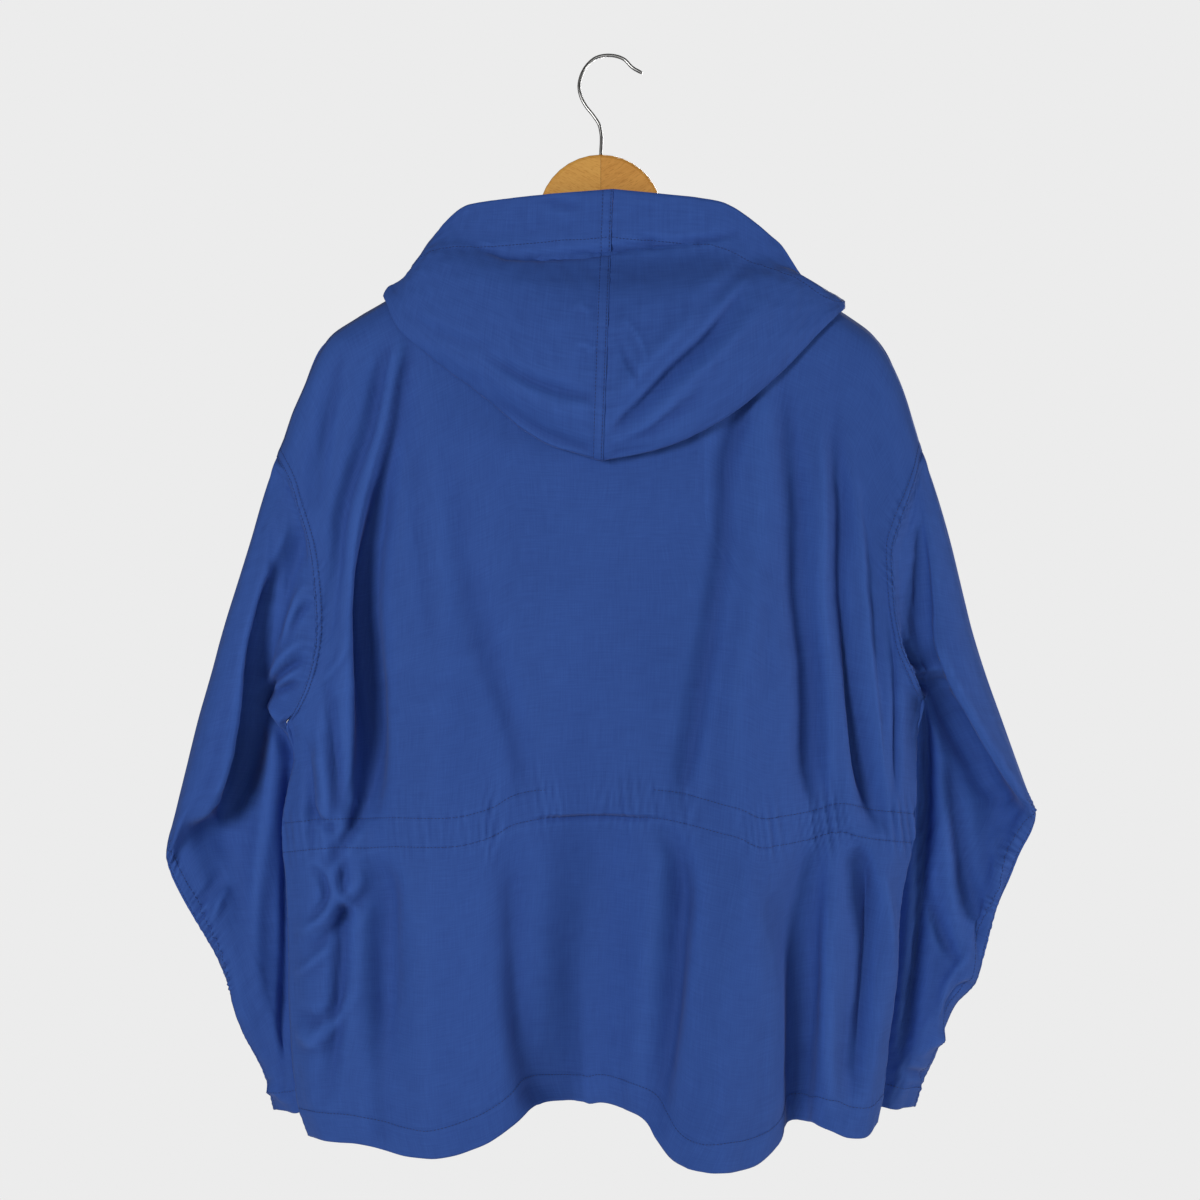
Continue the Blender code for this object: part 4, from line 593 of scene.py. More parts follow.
# Creases of the back, beyond the long folds of its solid: half widths, then x, z, height.
BACK_CREASES = {
    "left valley": ((4.5, 14.0), [
        (170, -238, 0), (175, -262, -4), (180, -290, -7), (185, -318, -9), (192, -345, -11),
        (200, -381, -13), (208, -425, -15), (213, -467, -17), (212, -510, -20), (210, -553, -22),
        (210, -605, -21), (212, -640, -13), (220, -666, 0)]),
    "left ridge": ((9.0, 4.5), [
        (176, -240, 0), (182, -262, 3), (190, -300, 4.5), (200, -340, 5), (212, -381, 6), (221, -425, 6),
        (225, -467, 6.5), (224, -553, 6.5), (224, -605, 5), (226, -640, 0)]),
    "outer left valley": ((9.0, 6.0), [
        (188, -242, 0), (195, -272, -6), (205, -321, -8), (219, -361, -8.5), (228, -400, -8),
        (231, -442, -7), (236, -480, -4), (241, -512, 0)]),
    "shoulder valley": ((11.0, 7.0), [
        (230, -246, 0), (236, -285, -5), (243, -320, -6.5), (248, -360, -5), (252, -392, 0)]),
    "lead from the hood": ((9.0, 12.0), [
        (172, -290, 0), (168, -350, -2.6), (160, -430, -3.4), (152, -500, -2), (148, -560, 0)]),
    "soft left ridge": ((16.0, 16.0), [
        (146, -380, 0), (142, -480, 3), (148, -580, 3.4), (152, -640, 1.8)]),
    "middle left valley": ((12.0, 14.0), [
        (134, -335, 0), (129, -381, -4), (119, -450, -5.5), (102, -520, -6), (84, -575, -6.5),
        (76, -620, -6), (80, -662, 0)]),
    "middle ridge": ((26.0, 26.0), [(40, -400, 0), (40, -500, 2.4), (44, -600, 3.6), (46, -640, 1.8)]),
    "right slanting valley": ((12.0, 10.0), [
        (-122, -272, 0), (-115, -304, -6), (-103, -345, -8), (-100, -381, -8), (-99, -415, -8),
        (-92, -467, -8), (-77, -553, -9), (-68, -605, -9), (-60, -648, -2)]),
    "right ridge": ((12.0, 15.0), [
        (-134, -290, 0), (-132, -312, 3), (-130, -381, 5), (-124, -467, 6), (-112, -553, 6),
        (-108, -640, 3)]),
    "right valley": ((12.0, 9.0), [
        (-148, -262, 0), (-155, -312, -6), (-164, -381, -10.5), (-167, -467, -12), (-174, -520, -13),
        (-176, -553, -13), (-176, -605, -11), (-176, -650, 0)]),
    "right narrow ridge": ((6.0, 6.0), [
        (-180, -310, 0), (-184, -345, 2.5), (-185, -381, 4), (-184, -467, 4), (-190, -553, 3),
        (-192, -605, 4), (-193, -645, 0)]),
    "right armpit valley": ((10.0, 7.0), [
        (-194, -290, 0), (-198, -345, -6), (-203, -381, -10), (-203, -467, -15), (-208, -510, -18),
        (-214, -553, -20), (-222, -605, -20), (-228, -640, -12), (-234, -668, 0)]),
    "right armpit ridge": ((4.0, 8.0), [
        (-205, -340, 0), (-212, -381, 4), (-219, -467, 5.5), (-226, -553, 7), (-233, -605, 7),
        (-239, -650, 0)]),
    "right outer valley": ((3.5, 3.5), [
        (-240, -470, 0), (-245, -520, -4), (-247, -553, -6), (-247, -605, -6), (-247, -640, 0)]),
    "skirt left valley": ((10.0, 13.0), [
        (204, -684, 0), (196, -708, -10), (193, -768, -11), (193, -828, -9), (194, -870, -4),
        (194, -920, -4)]),
    "skirt outer left valley": ((8.0, 10.0), [
        (228, -680, 0), (230, -708, -12), (230, -768, -12), (236, -828, -12), (240, -870, -8),
        (242, -910, 0)]),
    "skirt left ridge": ((16.0, 16.0), [
        (160, -690, 0), (158, -760, 3.6), (158, -860, 5.4), (156, -925, 3.6)]),
    "skirt middle-left valley": ((19.0, 17.0), [
        (84, -668, -2), (80, -700, -11), (76, -768, -15), (70, -828, -17), (60, -885, -11)]),
    "skirt middle ridge": ((25.0, 22.0), [
        (20, -680, 0), (16, -730, 4), (15, -768, 7), (14, -830, 9), (14, -900, 9), (14, -940, 5)]),
    "skirt right valley": ((12.0, 13.0), [
        (-38, -655, -2), (-58, -690, -12), (-60, -708, -17), (-54, -768, -20), (-47, -828, -20),
        (-41, -885, -13), (-40, -915, -5)]),
    "skirt right ridge": ((20.0, 15.0), [
        (-108, -690, 0), (-122, -730, 5), (-134, -780, 9), (-140, -850, 11), (-142, -900, 11),
        (-142, -950, 7)]),
    "skirt far right valley": ((16.0, 12.0), [
        (-178, -676, -2), (-178, -708, -9), (-174, -768, -12), (-168, -828, -12), (-162, -880, -11),
        (-159, -915, -6)]),
    "skirt far right ridge": ((7.0, 9.0), [
        (-188, -690, 0), (-186, -760, 3.5), (-188, -830, 4.5), (-190, -900, 2)]),
    "skirt right edge valley": ((17.0, 7.0), [
        (-214, -678, -3), (-224, -708, -19), (-228, -768, -21), (-223, -828, -20), (-216, -870, -12),
        (-208, -905, -2)]),
    "skirt edge ridge": ((4.5, 6.0), [
        (-236, -700, 0), (-240, -735, 5), (-243, -790, 4), (-240, -850, 0)]),
    # Small diagonal creases beside the left underarm and below the left end of the casing.
    "left swirl, top": ((5.0, 4.0), [
        (262, -640, 0), (252, -652, -5.5), (240, -662, -5.5), (228, -664, 0)]),
    "left swirl, turn": ((5.0, 4.0), [
        (258, -694, 0), (247, -706, -5.5), (244, -722, -6.5), (250, -736, -4.5), (262, -744, 0)]),
    "left swirl, ridge": ((5.0, 5.0), [
        (230, -690, 0), (236, -705, 6), (233, -720, 6.5), (221, -732, 4), (212, -736, 0)]),
    "left diagonal": ((4.5, 8.0), [
        (269, -757, 0), (252, -746, 5), (238, -734, 6.5), (224, -718, 5.5), (208, -704, 0)]),
    "left diagonal valley": ((8.0, 4.5), [
        (262, -770, 0), (244, -756, -6), (228, -740, -7.5), (210, -722, -5), (202, -712, 0)]),
    "left lower diagonal": ((5.0, 7.0), [
        (270, -834, 0), (256, -846, 5), (242, -838, 5.5), (226, -814, 4), (212, -796, 0)]),
    "left lower valley": ((6.0, 5.0), [
        (268, -818, 0), (254, -828, -5), (240, -822, -5), (226, -802, 0)]),
    "left valley's foot": ((8.0, 5.0), [
        (212, -640, 0), (217, -662, -7), (228, -678, -8), (240, -690, -5), (250, -697, 0)]),
    "left side dart": ((4.0, 4.0), [(272, -790, 0), (258, -782, 3.1), (247, -772, 2.8), (238, -764, 0)]),
    # Creases that lead down from the left underarm along the side.
    "side fan, outer": ((4.0, 5.0), [
        (261, -585, 0), (258, -620, -5.4), (257, -660, -5.4), (255, -690, 0)]),
    "side fan, middle": ((6.0, 5.0), [
        (250, -560, 0), (246, -600, 5.4), (243, -640, 5.8), (246, -668, 0)]),
    "side fan, inner": ((5.0, 6.0), [
        (243, -530, 0), (238, -570, -5.4), (233, -620, -5.4), (233, -650, 0)]),
    "armhole dart": ((4.0, 4.0), [(246, -538, 0), (238, -528, 3.2), (230, -512, 3.2), (226, -494, 0)]),
}
# Strength of the gathers along the waist, from the wearer's left: x, strength.
GATHERS = [
    (280, 0.3), (225, 0.35), (216, 0.9), (200, 0.9), (192, 0.35), (112, 0.3), (104, 1.0), (58, 1.0),
    (48, 0.6), (10, 0.25), (-30, 0.5), (-40, 1.0), (-68, 1.0), (-80, 0.4), (-120, 0.3), (-165, 0.4),
    (-178, 1.0), (-215, 1.0), (-232, 0.7), (-262, 0.6),
]
GATHER_PITCH = 6.4
# Where the solid's first corner is, and how many gaps run across and up from it to its
# others. The casing's lower row of stitches runs along one row of them.
BACK_CORNER, BACK_GAPS = (257.5, 0.2, -927.0), (36, 25)
CASING_ROW = 9
# How far apart the cloth's own rows are in each of these gaps: close at the casing, and
# wide where only long folds run.
WAIST = {8: 2.2, 9: 1.4, 10: 1.6, 11: 2.6}
ABOVE_HEM = {0: 2.2}
BELOW_WAIST = {5: 3.6, 6: 3.2, 7: 3.2}
PLAIN_ROWS = {row: 6.2 for row in (1, 2, 3, 4, 12, 13, 22, 23, 24)}
BACK_STEP = 3.15
EDGE_STEP = 1.4
BESIDE_STEP = 2.0
HEM = 25.0
# Heights: the lowest stitches of the armholes, and where their seams fade in and out.
UNDERARM = {"left": -572, "right": -550}
ARMHOLE_FOOT = (-600, -560)
ARMHOLE_TOP = (-385, -345)
# Where the cloth blouses over the casing, and the upper row of stitches is hidden.
BLOUSE_RIGHT, BLOUSE_LEFT = (-50, -20), (40, 72)
HIDDEN_ROW = (-36, 52)

back_corners = corners("back_panel", BACK_CORNER, RIGHT, UP, *BACK_GAPS)
back_wall, back_rows = fine_wall(
    back_corners, BACK_STEP, {**WAIST, **PLAIN_ROWS, **ABOVE_HEM, **BELOW_WAIST},
    {0: EDGE_STEP, 1: BESIDE_STEP, -1: EDGE_STEP, -2: BESIDE_STEP})[:2]
back_wall = softened(back_wall, turns=14)
x, z = in_view(back_wall)
back_height = creased(x, z, BACK_CREASES) + crumpled(back_wall, size=26.0, height=0.28, seed=3)

# The casing's two rows of stitches draw the cloth in, and gather it above and below.
lower, upper = (z[back_rows[row]] for row in (CASING_ROW, CASING_ROW + 1))
strength = np.interp(-x, [-place for place, power in GATHERS], [power for place, power in GATHERS])
middle = soft_step(x, *BLOUSE_RIGHT) * (1 - soft_step(x, *BLOUSE_LEFT))
for row, share in ((lower, 1), (upper, 1 - middle)):
    back_height -= (0.3 + 0.5 * strength) * share * np.exp(-((z - row) / 1.9) ** 2)
reach = 9.0 + 9.0 * np.abs(np.sin(x / 13.0)) * strength
back_height += 2.0 * gathered(x, z, lower, upper, strength, reach, 0.4)
# Over the middle of the back the cloth blouses over the casing and hides its upper row.
above = z - lower
blouse = soft_step(above, 0.0, 5.0) * np.exp(-(np.maximum(0, above - 8) / 24.0) ** 2)
back_height += middle * (5.0 * blouse - 2.0 * np.exp(-((above + 1.5) / 2.5) ** 2))
# The armhole seams, sewn down on the panel, fade into plain side seams.
at_armhole = soft_step(z, *ARMHOLE_FOOT) * (1 - 0.8 * soft_step(z, *ARMHOLE_TOP))
for edge, turn in (("first column", 0.2), ("last column", 1.7)):
    back_height += felled(*from_edge(back_wall, edge), turn=turn) * (0.2 + 0.8 * at_armhole)
back_height += turned_edge(back_wall, HEM, dip=0.35, pucker=0.22, pitch=11.0)

back, back_wall = cloth_piece("back", back_wall, back_height, blue_cotton)
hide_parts("back_panel", "waist_casing_back")
back_rows_sewn = [
    line_in(back_wall, edge, inset, UNDERARM[side])
    for edge, side in (("first column", "left"), ("last column", "right")) for inset in sewn_rows(FELL)]
back_rows_sewn.append(line_in(back_wall, "first row", HEM))
lower, upper = back_rows[CASING_ROW], back_rows[CASING_ROW + 1]
back_rows_sewn.append((back_wall[lower], normals(back_wall)[lower]))
upper_x = back_wall[upper, :, 0]
for shown in (upper_x > HIDDEN_ROW[1], upper_x < HIDDEN_ROW[0]):
    back_rows_sewn.append((back_wall[upper][shown], normals(back_wall)[upper][shown]))
back_seams = stitching("back.seams", back_rows_sewn)


# ---- Front panel ----
# One piece like the back, with a short slit down from the neck.
FRONT_CORNERS = {"left": (257.5, -0.2, -927.0), "right": (-231.5, -0.2, -916.0)}
FRONT_GAPS = (12, 25)
FRONT_TWIN = 4.5
FRONT_STEP = 3.48
SLIT_COLUMN = 12
SLIT_BOTTOM = -395.0
FRONT_CREASES = {
    "left chest valley": ((10.0, 12.0), [
        (150, -300, 0), (160, -380, -3), (170, -470, -4), (182, -560, -3), (190, -640, 0)]),
    "right chest valley": ((10.0, 12.0), [
        (-120, -300, 0), (-134, -400, -3), (-150, -500, -4), (-160, -600, -2), (-165, -650, 0)]),
    "left armpit fold": ((6.0, 9.0), [
        (214, -380, 0), (222, -450, 3), (234, -520, 4), (248, -570, 2), (254, -600, 0)]),
    "right armpit fold": ((9.0, 6.0), [
        (-200, -380, 0), (-212, -450, 3), (-226, -520, 4), (-240, -560, 2), (-248, -590, 0)]),
    "left skirt valley": ((14.0, 10.0), [(60, -690, 0), (66, -780, -3), (72, -860, -4), (70, -915, -2)]),
    "right skirt valley": ((10.0, 14.0), [
        (-70, -690, 0), (-80, -780, -3), (-88, -860, -4), (-92, -910, -2)]),
    "right skirt ridge": ((12.0, 12.0), [(-130, -700, 0), (-140, -800, 3), (-146, -900, 2)]),
    "left skirt ridge": ((12.0, 12.0), [(120, -700, 0), (126, -800, 3), (132, -910, 2)]),
    "belly valley": ((18.0, 14.0), [(20, -440, 0), (26, -520, -2), (24, -600, -2), (20, -650, 0)]),
}
front_left = corners("front_panel", FRONT_CORNERS["left"], RIGHT, UP, *FRONT_GAPS, FRONT_TWIN)
front_right = corners("front_panel", FRONT_CORNERS["right"], LEFT, UP, *FRONT_GAPS, FRONT_TWIN)
front_corners = np.concatenate([front_right, front_left[:, ::-1]], axis=1)
front_wall, front_rows, front_columns = fine_wall(
    front_corners, FRONT_STEP, {**WAIST, 0: 2.4}, {0: EDGE_STEP, -1: EDGE_STEP})
x, z = front_wall[..., 0], front_wall[..., 2]
front_height = creased(x, z, FRONT_CREASES) + crumpled(front_wall, size=26.0, height=0.22, seed=5)
lower, upper = (z[front_rows[row]] for row in (CASING_ROW, CASING_ROW + 1))
for row in (lower, upper):
    front_height -= 1.0 * np.exp(-((z - row) / 2.6) ** 2)
strength = 0.55 + 0.35 * np.sin(x / 31.0)
front_height += 1.4 * gathered(x, z, lower, upper, strength, 15.0, 1.3)
at_armhole = soft_step(z, *ARMHOLE_FOOT)
for edge, turn in (("first column", 0.9), ("last column", 2.1)):
    front_height += felled(*from_edge(front_wall, edge), turn=turn) * (0.25 + 0.75 * at_armhole)
front_height += turned_edge(front_wall, HEM, dip=0.35)
# The slit is cut out of one column of the solid's cloth, at the middle.
slit = np.zeros(front_wall.shape[:2], bool)
first, last = front_columns[SLIT_COLUMN], front_columns[SLIT_COLUMN + 1]
slit[:, first:last + 1] = front_wall[:, first:last + 1, 2] > SLIT_BOTTOM
front, front_wall = cloth_piece("front", front_wall, front_height, blue_cotton, slit)
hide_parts("front_panel", "waist_casing_front")
front_rows_sewn = [
    line_in(front_wall, edge, inset, UNDERARM[side])
    for edge, side in (("first column", "right"), ("last column", "left")) for inset in sewn_rows(FELL)]
front_rows_sewn.append(line_in(front_wall, "first row", HEM))
for row in front_rows[[CASING_ROW, CASING_ROW + 1]]:
    front_rows_sewn.append((front_wall[row], normals(front_wall)[row]))
front_seams = stitching("front.seams", front_rows_sewn)


# ---- Sleeves ----
# Each sleeve is a back and a front half, felled together along the elbow and the underarm,
# and set into the armhole.
CUFF_HEM = 21.5
# Each cuff's outer corner, x and z, and the way in from it, then the depth of that corner in
# each half of a sleeve, with the number of the solid's gaps across the half.
CUFFS = {"left": (303.8, -931.3, RIGHT), "right": (-279.4, -928.5, LEFT)}
SLEEVE_HALVES = {"back": (-69.8, 8), "front": (-70.2, 6)}
SLEEVE_ROWS = 30
SLEEVE_CREASES = {
    "left": {
        "valley below the band": ((8.0, 15.0), [
            (262, -394, 0), (267, -412, -4), (279, -436, -7), (291, -458, -9), (300, -492, -11),
            (304, -530, -14), (308, -575, -16), (315, -612, -15), (322, -640, -8), (328, -665, 0)]),
        "band's inner lip": ((7.0, 3.0), [
            (272, -395, 0), (287, -430, 3), (299, -462, 4.5), (311, -505, 5), (318, -545, 6),
            (325, -585, 7), (333, -622, 7), (345, -646, 5), (360, -660, 0)]),
        "armpit fold": ((4.0, 5.0), [
            (258, -514, 0), (270, -522, -5), (286, -535, -8), (301, -549, -9), (308, -562, -4),
            (312, -575, 0)]),
        "armpit fold below": ((3.5, 4.0), [
            (266, -536, 0), (276, -541, -5), (288, -547, -6), (297, -553, -4), (304, -560, 0)]),
        "armpit ridge": ((4.0, 4.0), [
            (262, -524, 0), (276, -532, 4.5), (290, -543, 4.5), (300, -554, 0)]),
        "armpit ridge above": ((5.0, 5.0), [
            (256, -500, 0), (268, -506, 4), (282, -518, 4.5), (296, -534, 3), (304, -546, 0)]),
        "tuck": ((3.0, 7.0), [
            (306, -560, 0), (296, -561, 4.5), (287, -567, 5.5), (277, -575, 5.5), (270, -585, 3),
            (266, -592, 0)]),
        "under the tuck": ((8.0, 3.0), [
            (308, -570, 0), (297, -571, -7), (287, -578, -9), (278, -587, -9), (271, -598, -6),
            (268, -610, 0)]),
        "shoulder lead, outer": ((6.0, 8.0), [
            (262, -392, 0), (268, -420, -4.5), (276, -450, -6), (286, -490, -4.5), (292, -515, 0)]),
        "shoulder lead, inner": ((4.0, 6.0), [
            (256, -450, 0), (266, -462, 3.6), (276, -486, 4.2), (284, -510, 0)]),
        "armhole dart": ((3.5, 3.5), [
            (254, -468, 0), (262, -474, -3.3), (272, -490, -3.9), (280, -508, 0)]),
        "far ridge": ((9.0, 8.0), [
            (286, -575, 0), (288, -610, 5), (293, -660, 7), (300, -710, 7), (303, -760, 5),
            (300, -810, 2), (298, -840, 0)]),
        "far valley": ((4.5, 6.0), [
            (274, -600, 0), (276, -640, -7), (277, -700, -8), (278, -780, -8), (280, -850, -6),
            (280, -890, 0)]),
        "elbow lead": ((6.0, 6.0), [
            (330, -694, 0), (342, -716, -4.5), (352, -726, -4.5), (360, -732, 0)]),
        "elbow dart": ((4.0, 4.0), [(325, -714, 0), (332, -722, 3.6), (338, -736, 3.6), (342, -748, 0)]),
        "forearm ridge": ((9.0, 9.0), [
            (326, -760, 0), (318, -800, 4.5), (308, -850, 4.5), (300, -890, 0)]),
        "cuff crease": ((3.5, 3.5), [(300, -893, 0), (290, -887, 3), (281, -893, 3), (272, -902, 0)]),
    },
    "right": {
        "valley below the band": ((18.0, 6.0), [
            (-262, -428, 0), (-267, -468, -6), (-275, -507, -9), (-288, -542, -13), (-304, -572, -15.5),
            (-321, -600, -13), (-338, -628, -8), (-351, -646, 0)]),
        "band's inner lip": ((3.5, 7.0), [
            (-262, -448, 0), (-274, -490, 3), (-288, -528, 5.2), (-308, -565, 6), (-330, -602, 6),
            (-350, -630, 3), (-358, -640, 0)]),
        "armpit hook": ((3.5, 4.0), [
            (-256, -530, 0), (-266, -538, -5.2), (-276, -543, -6), (-287, -548, 0)]),
        "armpit hook ridge": ((3.5, 3.5), [
            (-256, -520, 0), (-268, -528, 4.5), (-281, -530, 4.5), (-284, -542, 0)]),
        "armhole fan": ((3.5, 4.0), [
            (-250, -490, 0), (-258, -504, -3.9), (-266, -518, -4.5), (-272, -530, 0)]),
        "shoulder lead": ((7.0, 6.0), [
            (-266, -396, 0), (-270, -430, -4.5), (-272, -470, -5.4), (-274, -505, 0)]),
        "body shadow valley": ((4.0, 7.0), [
            (-270, -548, 0), (-273, -575, -9), (-273, -620, -12), (-270, -690, -12), (-265, -760, -11),
            (-258, -820, -9), (-252, -870, 0)]),
        "far ridge": ((8.0, 8.0), [
            (-284, -590, 0), (-288, -650, 5), (-293, -710, 5), (-300, -760, 4), (-306, -800, 0)]),
        "long slanting valley": ((9.0, 7.0), [
            (-290, -600, 0), (-298, -640, -6), (-308, -700, -8), (-320, -750, -9), (-334, -790, -5),
            (-342, -808, 0)]),
        "short ridge by it": ((6.0, 6.0), [
            (-330, -660, 0), (-334, -700, 4.5), (-336, -740, 4.5), (-340, -775, 0)]),
        "inner slanting crease": ((5.0, 6.0), [
            (-266, -690, 0), (-278, -730, -4.5), (-292, -765, -6), (-303, -782, 0)]),
        "wrist crumple, top": ((4.0, 4.0), [
            (-312, -770, 0), (-300, -784, 3.9), (-290, -800, 4.5), (-286, -822, 0)]),
        "wrist crumple, fold": ((4.5, 4.5), [
            (-322, -800, 0), (-306, -800, -5.1), (-294, -812, -5.4), (-290, -836, 0)]),
        "wrist crumple, low": ((5.0, 4.0), [
            (-300, -838, 0), (-288, -842, 4.5), (-276, -850, 3.9), (-266, -862, 0)]),
        "cuff crease": ((4.0, 4.0), [
            (-286, -866, 0), (-276, -874, -3.6), (-262, -874, -3.6), (-250, -868, 0)]),
    },
}
FRONT_SLEEVE_CREASES = {
    "left": {
        "long valley": ((12.0, 9.0), [(290, -440, 0), (304, -520, -4), (322, -600, -5), (336, -660, 0)]),
        "elbow lead": ((6.0, 6.0), [(280, -650, 0), (310, -690, -3.5), (345, -715, -3), (360, -722, 0)]),
        "forearm valley": ((8.0, 8.0), [
            (330, -740, 0), (310, -800, -3), (290, -860, -3), (280, -900, 0)]),
    },
    "right": {
        "long valley": ((9.0, 12.0), [
            (-272, -430, 0), (-290, -510, -4), (-312, -590, -5), (-330, -640, 0)]),
        "elbow lead": ((6.0, 6.0), [
            (-270, -620, 0), (-300, -660, -3.5), (-336, -680, -3), (-350, -690, 0)]),
        "forearm valley": ((8.0, 8.0), [
            (-314, -720, 0), (-296, -790, -3), (-272, -850, -3), (-262, -890, 0)]),
    },
}
# Heights between which the felled elbow seam shows and puckers, on each side.
ELBOW = {"left": (-788, -672), "right": (-720, -640)}
ELBOW_FELL = 13.0
ELBOW_ROWS = (2.2, 11.8)
# Heights where the seam to the body starts, and where the sleeve's forms fade at its head.
SLEEVE_FOOT = (-590, -560)
SLEEVE_HEAD = (-345, -375)
SLEEVE_STEP = 2.3
CUFF_STEP = 1.8
for side, (cuff_x, cuff_z, inwards) in CUFFS.items():
    for half, (depth, columns) in SLEEVE_HALVES.items():
        wall = corners(f"sleeve_{side}_{half}", (cuff_x, depth, cuff_z), inwards, UP, columns,
                       SLEEVE_ROWS, last_is_tip=True)
        flipped = (side == "left") != (half == "back")
        if flipped:
            wall = wall[:, ::-1]
        wall = fine_wall(wall, SLEEVE_STEP, {0: CUFF_STEP}, {0: EDGE_STEP, -1: EDGE_STEP})[0]
        outer, inner = ("last column", "first column") if flipped else ("first column", "last column")
        if half == "back":
            x, z = in_view(wall)
            height = creased(x, z, SLEEVE_CREASES[side])
        else:
            x, z = wall[..., 0], wall[..., 2]
            height = creased(x, z, FRONT_SLEEVE_CREASES[side])
        height += crumpled(wall, size=20.0, height=0.25, seed=len(side) + len(half))
        # The creases die out at the elbow's edge, and mostly at the seams of the inner edge.
        height *= soft_step(from_edge(wall, outer)[0], 0.0, 9.0)
        height *= soft_step(from_edge(wall, inner)[0], -1.0, 7.0)
        # The felled elbow seam turns onto the back half below the elbow, and puckers there.
        inset, along = from_edge(wall, outer)
        low, high = ELBOW[side]
        if half == "back":
            below = 1 - soft_step(z, high, high + 12)
            height += below * felled(inset, along, width=ELBOW_FELL, thick=0.9, pucker=0.3)
            puckers = np.exp(-((inset - 9) / 6.5) ** 2) * soft_step(inset, 0, 3)
            height += 2.4 * below * soft_step(z, low - 25, low) * uneven(along, 6.2) * puckers
        # Puckers along the armhole, and the cuff's hem.
        inset, along = from_edge(wall, inner)
        height += 0.6 * soft_step(z, *SLEEVE_FOOT) * uneven(along, 7.0, 0.2) * np.exp(-(inset / 10) ** 2)
        height += turned_edge(wall, CUFF_HEM, thick=0.6, pucker=0.35, pitch=9.0, reach=8.0)
        height *= soft_step(z, *SLEEVE_HEAD)
        name = f"sleeve.{side}.{half}"
        sleeve, wall = cloth_piece(name, wall, height, blue_cotton)
        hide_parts(f"sleeve_{side}_{half}")
        sewn = [line_in(wall, "first row", CUFF_HEM)]
        if half == "back":
            sewn += [line_in(wall, outer, inset, high=high) for inset in ELBOW_ROWS]
        seams = stitching(f"{name}.seams", sewn)


# ---- Hood ----
# Two halves felled together at the centre back, with a turned casing along the rim. It lies
# folded down on the shoulders.
RIM_CASING = 39.0
HOOD_FELL = 9.6
HOOD_PITCH = 7.6
HOOD_STEP = 2.2
# The corner of the rim at the centre back, the way out from it on each side, and the gaps
# between the solid's corners.
RIM_CORNER = (-3.6, 40.0, -125.8)
RIMS = {"left": LEFT, "right": RIGHT}
HOOD_GAPS = (14, 12)
# The neck seam lies under the hood's last corners, a little in and below them.
NECK_IN = (1.0, 0.975, 1.0)
NECK_DROP = (0.0, 0.0, 6.6)
# Half widths, then x, z, height, as on the back.
HOOD_CREASES = {
    "left": {
        "crease below the casing": ((3.2, 2.4), [
            (128, -156, 0), (106, -165, -2), (88, -170, -4), (60, -171, -5), (35, -170, -5.5),
            (0, -167, -5.5)]),
        "roll above it": ((6.0, 9.0), [
            (110, -158, 0), (80, -161, 1), (50, -161, 1.2), (20, -159, 1.2), (5, -158, 1)]),
        "cross crease": ((3.5, 8.0), [
            (118, -246, 0), (98, -262, -2.5), (66, -280, -4.5), (41, -289, -5), (22, -293, -3.5),
            (11, -295, 0)]),
        "cross roll": ((10.0, 8.0), [
            (100, -275, 0), (66, -293, 2.3), (40, -303, 2.6), (20, -306, 1.3), (10, -306, 0)]),
        "low crease": ((3.5, 7.0), [
            (110, -285, 0), (77, -312, -3), (60, -323, -4), (35, -333, -4), (20, -337, -3),
            (10, -339, 0)]),
        "side lead": ((6.0, 6.0), [(180, -214, 0), (150, -236, -2.1), (120, -246, -1.8), (96, -250, 0)]),
        "rim dent": ((5.0, 5.0), [(56, -121, 0), (45, -126, -2.6), (30, -129, -2.1), (18, -126, 0)]),
        "crinkle by the seam": ((2.5, 2.5), [
            (32, -218, 0), (24, -214, 1.4), (18, -219, 1.4), (10, -216, 0)]),
        "lower crinkle": ((2.5, 2.5), [(30, -250, 0), (22, -246, 1.4), (15, -252, 1.4), (8, -249, 0)]),
    },
    "right": {
        "crease below the casing": ((2.4, 3.2), [
            (8, -167, -5.5), (-4, -166, -5.4), (-30, -163, -5), (-57, -161, -4.5), (-86, -157, -3.5),
            (-116, -151, 0)]),
        "short crease over it": ((2.5, 3.0), [
            (-18, -153, 0), (-30, -156, -2.6), (-42, -160, -2.6), (-50, -162, 0)]),
        "deep slanting fold": ((13.0, 4.5), [
            (-3, -326, 0), (-14, -312, -6.5), (-30, -296, -9.1), (-57, -267, -9.8), (-86, -240, -9.1),
            (-108, -212, -5.2), (-128, -186, 0)]),
        "roll below the fold": ((8.0, 11.0), [
            (-14, -324, 0), (-36, -308, 3.4), (-66, -280, 4.4), (-96, -252, 3.9), (-122, -226, 2.1),
            (-140, -208, 0)]),
        "roll above the fold": ((6.0, 9.0), [
            (-4, -300, 0), (-18, -284, 3.2), (-36, -262, 3.9), (-60, -238, 3.1), (-80, -214, 0)]),
        "low slanting fold": ((8.0, 4.0), [
            (2, -336, 0), (-30, -326, -3.9), (-60, -304, -4.7), (-78, -290, -2.6), (-92, -278, 0)]),
        "lowest crease": ((4.0, 4.0), [
            (0, -342, 0), (-10, -341, -2.4), (-22, -339, -2.8), (-46, -331, 0)]),
        "upper slanting lead": ((10.0, 7.0), [
            (-70, -228, 0), (-96, -202, -3.1), (-120, -178, -2.6), (-136, -166, 0)]),
        "crinkle by the seam": ((2.5, 2.5), [
            (-10, -224, 0), (-22, -236, 1.8), (-30, -254, 2.1), (-26, -276, 0)]),
        "second crinkle": ((3.0, 3.0), [
            (-6, -238, 0), (-14, -256, -1.8), (-24, -276, -2.1), (-28, -290, 0)]),
    },
}
